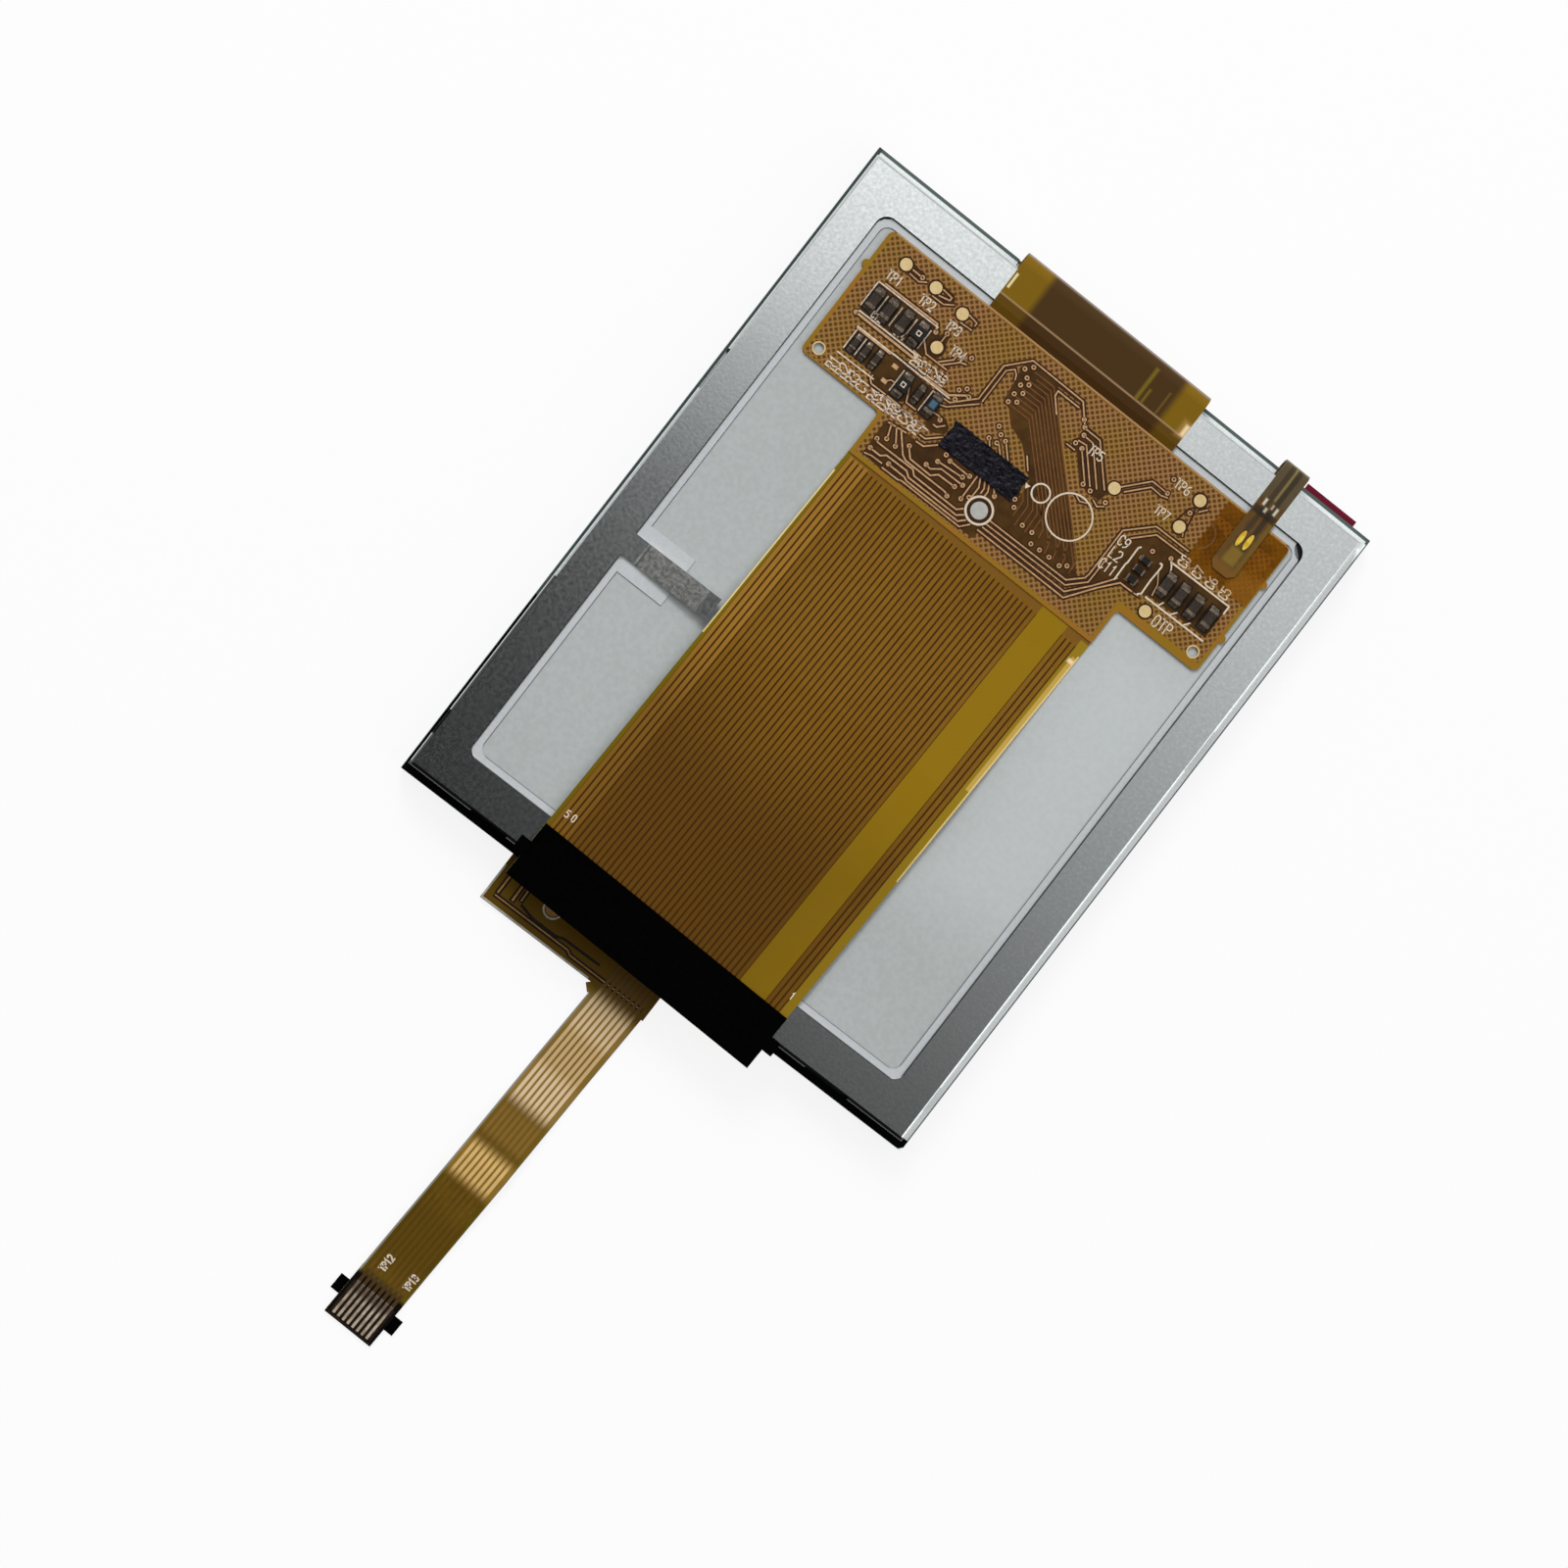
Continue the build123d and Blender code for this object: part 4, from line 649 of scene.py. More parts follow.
@dataclass(frozen=True)
class CircuitFilm(Finish):
    """The main film: cross-hatched board, copper bridge and amber tail in one piece."""

    board: Zone = Zone(-22.0, 22.0, 10.55, 26.95, (140, 108, 24), 0.04)
    margin_accent: Tint = (150, 104, 32)
    wings: Zone = Zone(-20.75, 20.35, 14.75, 26.75, (154, 111, 68), 0.2)
    stem: Zone = Zone(-12.55, 12.0, 11.0, 16.0, (154, 111, 68), 0.2)
    hatch_light: tuple[Tint, Tint] = ((154, 111, 68), (148, 110, 52))
    hatch_dark: tuple[Tint, Tint] = ((88, 56, 24), (90, 64, 16))
    hatch_pitch: float = 0.59
    hatch_cover: float = 0.4
    margin_grain: Span = (0.35, 3.0)
    hatch_grain: Span = (0.22, 4.0)
    taped: Zone = Zone(14.25, 20.6, 20.75, 26.65, (255, 214, 104), 0.35)
    # A painted highlight: a cream line along the board's top edge.
    edge_highlight: Zone = Zone(-20.6, 20.2, 26.8, 26.95, (196, 156, 114), 0.06, 0.7)
    bridge_start: Span = (26.9, 26.98)
    bridge_tint: Tint = (122, 92, 8)
    # The bridge's lines and darker fields, and painted highlights at its edges and right end.
    bridge_marks_and_highlights: tuple[Zone, ...] = (
        Zone(-8.25, 5.6, 20.0, 40.0, (70, 48, 18), 0.8), Zone(-12.0, 9.0, 26.8, 28.3, (62, 36, 8), 0.15, 0.6),
        Zone(-12.0, 9.0, 28.28, 28.42, (156, 126, 92), 0.14), Zone(2.8, 3.1, 28.4, 31.5, (116, 96, 26), 0.3),
        Zone(3.4, 3.6, 28.4, 29.8, (112, 92, 24), 0.2), Zone(4.9, 5.05, 28.4, 30.6, (104, 82, 24), 0.2),
        # Painted highlights: a short stroke on the left edge, the glare at the right end and a bright line
        # along the right edge.
        Zone(-10.95, -10.75, 29.0, 30.4, (232, 214, 160), 0.14),
        Zone(7.3, 8.2, 28.2, 29.6, (196, 156, 92), 0.7, 0.5),
        Zone(8.34, 8.5, 28.0, 31.0, (236, 216, 170), 0.1),
        Zone(7.6, 7.95, 28.4, 29.4, (252, 226, 178), 0.3, 0.8),
        Zone(-12.0, 9.0, 32.25, 40.0, (150, 138, 130), 0.25, 0.7),
    )

    def paint(self, surface: Surface, colour: Socket) -> Socket:
        """Paint the tail's bands, the board's margin and cross-hatch, the bridge, and their painted
        highlights and shade.

        Args:
            surface: What the finish is painted on.
            colour: The tail's colour.

        Returns:
            The film's colour.
        """
        wiring = surface.wiring
        colour = super().paint(surface, colour)
        margin = wiring.mix(
            surface.grain(*self.margin_grain)[0], shade(self.board.tint), shade(self.margin_accent),
        )
        patchy = surface.grain(*self.hatch_grain)[0]
        gaps, copper = (
            wiring.mix(patchy, shade(first), shade(second))
            for first, second in (self.hatch_dark, self.hatch_light)
        )
        weave = wiring.group(surface.kit.hatch, surface.place, self.hatch_pitch, self.hatch_cover)[0]
        inner = wiring.math("MAXIMUM", surface.box(self.wings), surface.box(self.stem))
        face = wiring.mix(inner, margin, wiring.mix(weave, gaps, copper))
        colour = wiring.mix(surface.box(self.board), colour, face)
        colour = wiring.mix(surface.box(self.taped), colour, shade(self.taped.tint), "MULTIPLY")
        # Painted highlight along the board's top edge.
        colour = surface.overlay(colour, self.edge_highlight)
        # The bridge with its lines and its painted highlights.
        bridge = surface.overlay(shade(self.bridge_tint), *self.bridge_marks_and_highlights)
        return wiring.mix(wiring.step(wiring.axes(surface.place)[1], *self.bridge_start), colour, bridge)


@dataclass(frozen=True)
class SpeckledSteel(Finish):
    """Bright sheet steel with a fine crystalline speckle."""

    crystal_scale: float = 3.0
    crystal_tint: Tint = (196, 200, 202)
    crystal_share: float = 0.4
    crystal_rise: Span = (0.1, 0.6)

    def paint(self, surface: Surface, colour: Socket) -> Socket:
        """Add the small crystals to the steel's colour.

        Args:
            surface: What the finish is painted on.
            colour: The colour so far.

        Returns:
            The speckled colour.
        """
        wiring = surface.wiring
        crystals = wiring.node("ShaderNodeTexVoronoi")
        wiring.feed(self.crystal_scale, crystals.inputs["Scale"])
        wiring.feed(surface.place, crystals.inputs["Vector"])
        lit = wiring.step(crystals.outputs["Distance"], *self.crystal_rise)
        lit = wiring.math("MULTIPLY", lit, self.crystal_share)
        return super().paint(surface, wiring.mix(lit, colour, shade(self.crystal_tint)))


@dataclass(frozen=True)
class ShadedBorderSheet(Finish):
    """A pale sheet with painted shade outside the part that lies open above it, and in a soft line along that
    edge.
    """

    opening_shade: Zone = Zone(-22.4, 21.8, -27.6, 27.5, (46, 48, 48), 0.12)

    def paint(self, surface: Surface, colour: Socket) -> Socket:
        """Paint shade over the border, which lies in shade under the parts above."""
        # Painted shade: outside the box the sheet takes the box's shade tint, with a soft dark line along its
        # edge.
        inside = surface.box(self.opening_shade)
        return surface.wiring.mix(inside, shade(self.opening_shade.tint), super().paint(surface, colour))


class Kind(Enum):
    """The finishes of the module."""

    CLEAR_FILM = Finish("clear_film", (235, 238, 240), (225, 232, 236), 0.06, 0.03, transmission=1.0,
                        ior=1.49, bump=0.02)
    RED_FILM = Finish("red_film", (110, 14, 42), (96, 12, 36), 0.4, specular=0.15, rim=(130, 40, 56))
    TOUCH_SHEET = Finish("touch_sheet", (222, 228, 226), (212, 220, 220), 0.12, 0.04,
                         transmission=0.9, ior=1.5, bump=0.02)
    GLASS = Finish("glass", (226, 238, 234), (214, 230, 226), 0.04, 0.02, transmission=1.0, ior=1.52,
                   bump=0.01)
    # Real black tape, and also the painted shade of the window's corner crescents.
    BLACK_TAPE_AND_SHADE = Finish("black_tape", (12, 12, 13), (20, 20, 21), 0.6, specular=0.15, bump=0.2)
    BLACK_PLASTIC = Finish("black_plastic", (4, 4, 4), (8, 8, 8), 0.5, specular=0.03, bump=0.25, grain=7.0,
                           # Painted highlights and reflections: pale and grey strips along the right, top and
                           # left edges.
                           zones=(Zone(25.0, 26.0, -30.9, 31.8, (104, 112, 112), 0.06),
                                  Zone(25.0, 25.84, -30.9, 31.7, (250, 254, 254), 0.06),
                                  Zone(-26.0, 26.0, 31.4, 32.0, (84, 94, 90), 0.06),
                                  Zone(-25.9, 25.7, 30.8, 31.6, (222, 228, 228), 0.06),
                                  Zone(-26.0, -25.6, -14.0, 32.0, (64, 72, 70), 0.1)))
    POLARISER = Finish("polariser", (16, 17, 20), (22, 23, 27), 0.12, 0.04, coat=0.6)
    OPTICAL = Finish("optical_sheet", (214, 218, 220), (200, 206, 210), 0.3, transmission=0.3)
    GUIDE = Finish("light_guide", (228, 232, 234), (218, 224, 228), 0.08, transmission=0.9, ior=1.49)
    WHITE_SHEET = ShadedBorderSheet("white_sheet", (180, 185, 185), (171, 176, 175), 0.34, 0.06, coat=0.1,
                                coat_roughness=0.3, grain=2.2, clouds=0.06, bump=0.04,
                                # Painted shade: a soft dark line round the lip's inner edge, and darker sheet
                                # under the lip.
                                opening_shade=Zone(-21.78, 21.18, -26.98, 26.88, (112, 116, 120), 0.12),
                                # Painted light: the broad pale zone on the right side, where more light
                                # falls.
                                zones=(Zone(12.0, 24.0, -14.0, 14.0, (212, 218, 218), 10.0, 0.36),))
    # Painted shade: its default box gives a dark line round the window's edge, and its rim tint shades the
    # steep walls.
    WHITE_PLASTIC = ShadedBorderSheet("white_plastic", (196, 199, 201), (186, 190, 192), 0.4, 0.06, coat=0.1,
                                  rim=(120, 124, 122), bump=0.05)
    LAMP = Finish("lamp_package", (236, 232, 210), (226, 220, 190), 0.35)
    SILICON = Finish("silicon", (52, 54, 60), (40, 42, 48), 0.15, metallic=0.6)
    STEEL = SpeckledSteel("sheet_metal", (224, 228, 227), (206, 211, 210), 0.13, 0.05, metallic=1.0,
                          grain=3.2, detail=5.0, bump=0.12, bump_height=0.015, cloud_share=0.2,
                          # Painted light: dark reflections on the bottom and left bends, the raised tongue
                          # lit brighter, and a highlight on the tongue's bend.
                          zones=(Zone(-26.0, 26.0, -31.4, -30.88, (52, 50, 50), 0.05),
                                 Zone(-25.64, -25.42, -31.1, -12.0, (96, 96, 96), 0.05),
                                 Zone(-20.8, -14.9, -7.6, -5.1, (255, 255, 250), 0.1),
                                 Zone(-21.15, -20.98, -7.4, -5.3, (255, 255, 252), 0.08)))
    MAIN_FILM = CircuitFilm(
        # The cream rim tint is a painted highlight on the film's cut edges.
        "circuit_film", (76, 47, 4), (66, 39, 3), 0.36, 0.1, specular=0.12, grain=0.8, rim=(150, 128, 90),
        rim_reach=0.2, bump=0.12, bump_height=0.05, lean=(TAIL_ROOT, TAIL_TURN),
        zones=(
            Zone(-13.2, 13.2, -0.7, 0.5, (126, 88, 28), 0.06, 0.9),
            Zone(7.65, 10.3, -60, 0.5, (144, 112, 12), 0.12),
            Zone(11.85, 13.2, -60, 0, (148, 120, 24), 0.12),
            # Painted highlights: the pale upper strip and the glint by the tail's right edge.
            Zone(12.15, 13.2, -15.5, -1.5, (206, 170, 88), 0.1, 0.75),
            Zone(12.0, 12.7, -2.1, -1.75, (246, 222, 186), 0.2, 0.85),
            Zone(-13.2, -12.3, -60, 0, (118, 98, 8), 0.08),
            # Painted highlights: cream lines along the tail's left and right edges.
            Zone(-13.2, -12.53, -19.2, -2.2, (236, 212, 150), 0.05, 0.9),
            Zone(12.5, 13.2, -24.9, -1.2, (224, 200, 130), 0.05, 0.9),
            # Painted shade: the tail grows darker towards the stiffener.
            Zone(-13.2, 13.2, -60, -24, (58, 34, 4), 14.0, 0.3),
        ),
    )
    CONDUCTOR = Finish("tail_conductor", (134, 94, 22), (122, 84, 15), 0.36, specular=0.15, clouds=0.08,
                       grain=1.2, cloud_share=0.6, lean=(TAIL_ROOT, TAIL_TURN),
                       zones=(Zone(-12.3, -10.4, -60, 0, (166, 120, 44), 0.3, 0.6),
                              # Painted shade: the conductors grow darker towards the stiffener.
                              Zone(-13.2, 13.2, -60, -24, (78, 48, 6), 14.0, 0.7)))
    GAP = Finish("film_gap", (44, 24, 8), (60, 34, 12), 0.4, specular=0.15, grain=2.0)
    BARE = Finish("bare_film", (56, 34, 8), (82, 54, 16), 0.4, specular=0.14, grain=1.4, detail=4.0,
                  cloud_share=0.5, clouds=0.3)
    TRACE = Finish("board_conductor", (204, 164, 118), (172, 128, 82), 0.36, coat=0.05, grain=3.0,
                   bump=0.1)
    DIM_TRACE = Finish("dim_conductor", (122, 80, 44), (100, 62, 28), 0.38, specular=0.18)
    INK = Finish("print_ink", (226, 212, 190), (202, 186, 160), 0.6, grain=6.0, bump=0.2)
    WORN_INK = Finish("worn_print_ink", (226, 212, 194), (182, 164, 140), 0.6, grain=3.0, detail=4.0,
                      cloud_share=0.15, bump=0.2)
    # Dark film between contacts and round conductors on the touch tail, and painted shade round the chips'
    # ends on the board.
    DARK_FILM_AND_SHADE = Finish("dark_film_and_shade", (14, 9, 5), (38, 24, 12), 0.4, specular=0.2, grain=2.2, detail=4.0)
    FILM_EDGE = Finish("film_edge", (184, 182, 172), (150, 146, 134), 0.5, specular=0.2, grain=2.0)
    BLOCK_LINE = Finish("block_conductor", (164, 124, 72), (132, 96, 48), 0.36, specular=0.2, grain=2.0)
    GOLD = Finish("gold", (238, 198, 98), (196, 146, 48), 0.3, 0.12, metallic=0.75, grain=2.5,
                  bump=0.2)
    # Brighter than GOLD: the joint pads' glints are painted in as a lighter copy of the gold.
    JOINT_GOLD = Finish("joint_gold", (255, 232, 96), (210, 160, 26), 0.25, 0.1, metallic=0.4, grain=1.6,
                        bump=0.3)
    PALE_GOLD = Finish("pale_gold", (222, 196, 142), (206, 178, 122), 0.42, 0.1, metallic=0.25,
                       grain=2.5, bump=0.15)
    SILVER = Finish("silver", (196, 196, 190), (178, 178, 172), 0.34, 0.1, metallic=0.5, grain=3.0,
                    bump=0.3)
    SOLDER = Finish("solder", (138, 124, 108), (60, 50, 42), 0.28, 0.15, metallic=0.75, grain=4.0,
                    detail=3.0, bump=0.6, bump_height=0.05)
    CERAMIC = Finish("ceramic", (62, 50, 40), (36, 28, 22), 0.45, specular=0.25, grain=5.0, bump=0.2)
    BLUE_CERAMIC = Finish("blue_ceramic", (26, 30, 32), (18, 20, 22), 0.4, specular=0.3,
                          zones=(Zone(-10.12, -9.58, 17.42, 18.05, (62, 98, 116), 0.12),))
    BLACK_EPOXY = Finish("black_epoxy", (18, 15, 13), (30, 25, 22), 0.4, specular=0.25, grain=6.0, bump=0.2)
    AMBER_TAPE = Finish("amber_tape", (186, 120, 16), (140, 84, 6), 0.3, specular=0.15,
                        grain=0.7, alpha=0.3, bump=0.25, bump_height=0.1,
                        zones=(Zone(18.3, 20.9, 20.4, 23.0, (236, 160, 56), 0.9, 0.5),))
    LAMP_FILM = Finish(
        "lamp_film", (100, 74, 22), (82, 50, 8), 0.3, coat=0.1, coat_roughness=0.12, specular=0.3, grain=1.2,
        alpha=0.96, rim=(100, 94, 68), bump=0.15,
        zones=(
            Zone(15.9, 18.5, 28.9, 40.0, (78, 72, 50), 0.8, 0.7),
            Zone(16.62, 17.05, 24.0, 40, (58, 42, 16), 0.14, 0.85),
            Zone(17.35, 17.78, 24.0, 40, (46, 34, 14), 0.14, 0.85),
            Zone(15.9, 16.42, 21.0, 27.6, (94, 66, 8), 0.25, 0.8),
            Zone(18.0, 18.5, 21.0, 27.6, (112, 84, 14), 0.25, 0.8),
            Zone(16.62, 17.78, 22.6, 24.1, (136, 108, 26), 0.4, 0.7),
            Zone(15.9, 18.5, 20.0, 22.5, (116, 78, 14), 0.6, 0.85),
            Zone(16.1, 18.3, 27.3, 27.95, (26, 18, 8), 0.3, 0.8),
            Zone(16.5, 16.7, 28.2, 28.8, (216, 208, 188), 0.2),
            Zone(17.74, 17.94, 28.0, 28.65, (210, 202, 184), 0.2),
            Zone(16.94, 17.14, 27.75, 28.15, (198, 188, 166), 0.2),
            Zone(17.32, 17.46, 28.3, 28.7, (186, 176, 150), 0.2),
            Zone(17.1, 17.3, 29.0, 40.0, (140, 124, 70), 0.1, 0.6),
        ),
    )
    # The lighter rim tint is a painted highlight along the stiffener's edges.
    STIFFENER = Finish("stiffener", (3, 3, 3), (6, 5, 5), 0.5, specular=0.0, grain=2.0,
                       rim=(14, 13, 12), bump=0.2)
    TOUCH_FILM = Finish(
        "touch_circuit_film", (100, 82, 8), (86, 66, 4), 0.3, 0.08, coat=0.03, specular=0.15,
        # The cream rim tint is a painted highlight on the film's cut edges.
        grain=0.9, rim=(206, 182, 132), bump=0.15, bump_height=0.05, lean=(TOUCH_ROOT, TOUCH_TURN),
        zones=(
            Zone(-16, 3, -5.0, 3.0, (92, 68, 10), 0.8),
            # Painted light: bands of reflection and shade down the tail where its slope turns, lighter from 5
            # to 16 mm and from 20 to 24 mm along it, darker between and below.
            Zone(-3, 3, -16.2, -5.2, (146, 116, 58), 1.6, 0.9),
            Zone(-3, 3, -12.4, -8.4, (124, 96, 34), 1.4, 0.6),
            Zone(-3, 3, -19.6, -16.6, (124, 94, 22), 1.0, 0.6),
            Zone(-3, 3, -24.0, -20.4, (150, 116, 44), 1.3, 0.8),
            Zone(-3, 3, -33.6, -27.0, (84, 62, 4), 2.4, 0.7),
            # Painted edge shading: grey lines along both edges of the tail.
            Zone(-2.5, -2.24, -36.0, -5.4, (142, 140, 132), 0.08, 0.9),
            Zone(2.32, 2.5, -36.0, -5.4, (112, 104, 84), 0.08, 0.8),
            Zone(-3, 3, -40.0, -34.9, (10, 8, 6), 0.6),
        ),
    )
    TOUCH_LINE = Finish(
        "touch_conductor", (112, 80, 20), (98, 68, 12), 0.34, coat=0.1, specular=0.3, grain=1.6,
        lean=(TOUCH_ROOT, TOUCH_TURN),
        zones=(
            Zone(-16, 3, -5.0, 3.0, (92, 66, 22), 0.8),
            # Painted light: the same bands of reflection and shade as on the film.
            Zone(-3, 3, -16.0, -5.0, (226, 200, 162), 1.8, 0.9),
            Zone(-3, 3, -12.4, -8.4, (190, 156, 96), 1.4, 0.6),
            Zone(-3, 3, -19.6, -16.6, (138, 104, 44), 1.0, 0.7),
            Zone(-3, 3, -23.8, -20.6, (228, 190, 124), 1.3, 0.85),
            Zone(-3, 3, -33.6, -27.0, (92, 66, 8), 2.4, 0.8),
            Zone(-3, 3, -36.2, -34.4, (60, 42, 26), 0.5, 0.8),
        ),
    )
    TOUCH_CONTACT = Finish("touch_contact", (208, 192, 170), (146, 128, 106), 0.34, 0.1, metallic=0.2,
                           grain=1.6, bump=0.2, zones=(Zone(-5, 3, -68.6, -67.0, (84, 64, 46), 0.8, 0.8),))
    # Partly real mottle and partly painted highlights: the pale bluish accent in its grain stands in for
    # glints on the black tape.
    CRINKLED = Finish("crinkled_tape", (1, 0, 2), (24, 21, 32), 0.22, 0.2, specular=0.14, grain=2.4,
                      detail=5.0, bump=1.0, bump_height=0.16)


Dressing = tuple[tuple[Kind, tuple[str, ...]], ...]


@dataclass
class Paints:
    """Makes each finish once."""

    kit: ShaderKit
    made: dict[Kind, bpy.types.Material] = field(default_factory=dict)

    def get(self, kind: Kind) -> bpy.types.Material:
        """Give the material of a finish.

        Args:
            kind: The finish.

        Returns:
            Its material.
        """
        if kind not in self.made:
            self.made[kind] = kind.value.make(self.kit)
        return self.made[kind]


@dataclass
class FlatWork:
    """Gathers thin flat shapes at one level, in millimetres, into one mesh of closed solids."""

    low: float
    high: float
    rise: float = 0.0
    vertices: list[Vector] = field(default_factory=list)
    faces: list[tuple[int, ...]] = field(default_factory=list)

    def polygon(self, points: Sequence[Point]) -> None:
        """Add a closed flat shape.

        Args:
            points: Its corners in order.
        """
        area = sum(a[0] * b[1] - b[0] * a[1] for a, b in zip(points, [*points[1:], points[0]]))
        ordered = list(points) if area > 0 else list(reversed(points))
        start, count = len(self.vertices), len(ordered)
        for level in (self.low, self.high):
            self.vertices += [Vector((mm(x), mm(y), mm(level))) for x, y in ordered]
        self.faces.append(tuple(start + count - 1 - i for i in range(count)))
        self.faces.append(tuple(start + count + i for i in range(count)))
        for i in range(count):
            j = (i + 1) % count
            self.faces.append((start + i, start + j, start + count + j, start + count + i))
        self.high += self.rise

    def band(self, cuts: Sequence[Sequence[Sequence[float]]], closed: bool = False) -> None:
        """Add a band from the cuts across it.

        Args:
            cuts: The left and the right point of each cut.
            closed: Whether the last cut joins the first one.
        """
        start, count = len(self.vertices), len(cuts)
        for pair in cuts:
            for level in (self.low, self.high):
                self.vertices += [Vector((mm(x), mm(y), mm(level))) for x, y in pair]
        for i in range(count if closed else count - 1):
            a, b = start + 4 * i, start + 4 * ((i + 1) % count)
            self.faces += [
                (a + 3, b + 3, b + 2, a + 2), (a, b, b + 1, a + 1),
                (a + 2, b + 2, b, a), (a + 1, b + 1, b + 3, a + 3),
            ]
        if not closed:
            last = start + 4 * (count - 1)
            self.faces += [(start, start + 1, start + 3, start + 2), (last + 2, last + 3, last + 1, last)]
        self.high += self.rise

    def ribbon(self, points: Sequence[Point], width: float) -> None:
        """Add a strip of even width along a path.

        Args:
            points: The path's points.
            width: The strip's width.
        """
        path = [Vector(point) for point in points]
        cuts: list[tuple[Vector, Vector]] = []
        for i, here in enumerate(path):
            before = (here - path[i - 1]).normalized() if i else None
            after = (path[i + 1] - here).normalized() if i < len(path) - 1 else None
            lead = before or after
            follow = after or before
            normal = Vector((-lead.y - follow.y, lead.x + follow.x)).normalized()
            stretch = max(normal.dot(Vector((-lead.y, lead.x))), SHARPEST_TURN)
            offset = normal * (width / 2 / stretch)
            end = Vector((0.0, 0.0))
            if before is None:
                end = -follow * width * END_REACH
            elif after is None:
                end = lead * width * END_REACH
            cuts.append((here + offset + end, here - offset + end))
        self.band(cuts)

    def disc(self, centre: Point, radius: float, sides: int = 20) -> None:
        """Add a round plate."""
        self.polygon([around(centre, radius, i, sides) for i in range(sides)])

    def ring(self, centre: Point, radius: float, width: float, sides: int = 48) -> None:
        """Add a flat ring from the radius of its middle line and the width of its band."""
        reaches = (radius - width / 2, radius + width / 2)
        self.band([[around(centre, reach, i, sides) for reach in reaches] for i in range(sides)], closed=True)

    def word(self, text: str, corner: Point, height: float, stroke: float, angle: float = 1.0) -> None:
        """Add a word in plain stroke letters.

        Args:
            text: The letters.
            corner: The lower left corner of the first one.
            height: Their height.
            stroke: The width of the strokes.
            angle: How far the word is turned, in degrees.
        """
        spin = Matrix.Rotation(math.radians(angle), 2)
        for place, letter in enumerate(text):
            for stroke_path in GLYPHS[letter]:
                spots = [
                    spin @ Vector(((x + place * LETTER_PITCH) * height * LETTER_WIDTH, y * height))
                    for x, y in pairs(*stroke_path)
                ]
                self.ribbon([(corner[0] + spot.x, corner[1] + spot.y) for spot in spots], stroke)


def around(centre: Point, radius: float, number: int, count: int) -> Point:
    """Give one of a number of points that stand evenly round a centre.

    Args:
        centre: The centre.
        radius: The points' distance from it.
        number: Which point, from 0.
        count: How many points there are.

    Returns:
        The point's X and Y.
    """
    angle = 2 * math.pi * number / count
    return centre[0] + radius * math.cos(angle), centre[1] + radius * math.sin(angle)


@dataclass
class Assembly:
    """A sub-assembly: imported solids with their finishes, and the fine relief that rides on them."""

    paints: Paints
    finishes: Dressing = ()

    def dress(self) -> None:
        """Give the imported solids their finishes."""
        for kind, names in self.finishes:
            for name in names:
                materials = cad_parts[name].data.materials
                materials.clear()
                materials.append(self.paints.get(kind))

    def add(self, name: str, mesh: bpy.types.Mesh, kind: Kind, slot: Optional[str]) -> bpy.types.Object:
        """Put a mesh into the scene as a piece of the module.

        Args:
            name: The piece's name.
            mesh: Its mesh, in metres in the shared frame.
            kind: Its finish.
            slot: Not used.

        Returns:
            The new object.
        """
        mesh.materials.append(self.paints.get(kind))
        piece = bpy.data.objects.new(name, mesh)
        bpy.context.scene.collection.objects.link(piece)
        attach(piece, BODY)
        LOG.info("added %s with %d faces", name, len(mesh.polygons))
        return piece

    def lay(self, name: str, work: FlatWork, kind: Kind, slot: Optional[str] = None) -> None:
        """Turn gathered flat shapes into one piece.

        Args:
            name: The piece's name.
            work: The shapes.
            kind: Its finish.
            slot: Passed on to add(), which does not use it.
        """
        mesh = bpy.data.meshes.new(name)
        mesh.from_pydata([tuple(v) for v in work.vertices], [], work.faces)
        mesh.update()
        self.add(name, mesh, kind, slot)

    def smooth(self, name: str, shaped: bmesh.types.BMesh, kind: Kind, slot: str) -> bpy.types.Object:
        """Turn a shaped mesh into one smooth piece.

        Args:
            name: The piece's name.
            shaped: The mesh that was built, which is freed.
            kind: Its finish.
            slot: Passed on to add(), which does not use it.

        Returns:
            The new object.
        """
        mesh = bpy.data.meshes.new(name)
        shaped.to_mesh(mesh)
        shaped.free()
        for face in mesh.polygons:
            face.use_smooth = True
        return self.add(name, mesh, kind, slot)


@dataclass
class FrontStack(Assembly):
    """The touch panel, the display cell and the sheets of the backlight."""

    finishes: Dressing = (
        (Kind.CLEAR_FILM, ("protective_film",)),
        (Kind.RED_FILM, ("pull_tab",)),
        (Kind.TOUCH_SHEET, ("touch_film",)),
        (Kind.BLACK_TAPE_AND_SHADE, ("touch_spacer", "panel_gasket", "light_shield_tape")),
        (Kind.GLASS, ("touch_glass", "colour_filter_glass", "array_glass")),
        (Kind.POLARISER, ("front_polariser", "rear_polariser")),
        (Kind.SILICON, ("driver_chip",)),
        (Kind.OPTICAL, ("upper_prism_sheet", "lower_prism_sheet", "diffuser_sheet")),
        (Kind.GUIDE, ("light_guide",)),
        (Kind.LAMP, ("lamps",)),
        (Kind.BLACK_PLASTIC, ("panel_frame",)),
    )


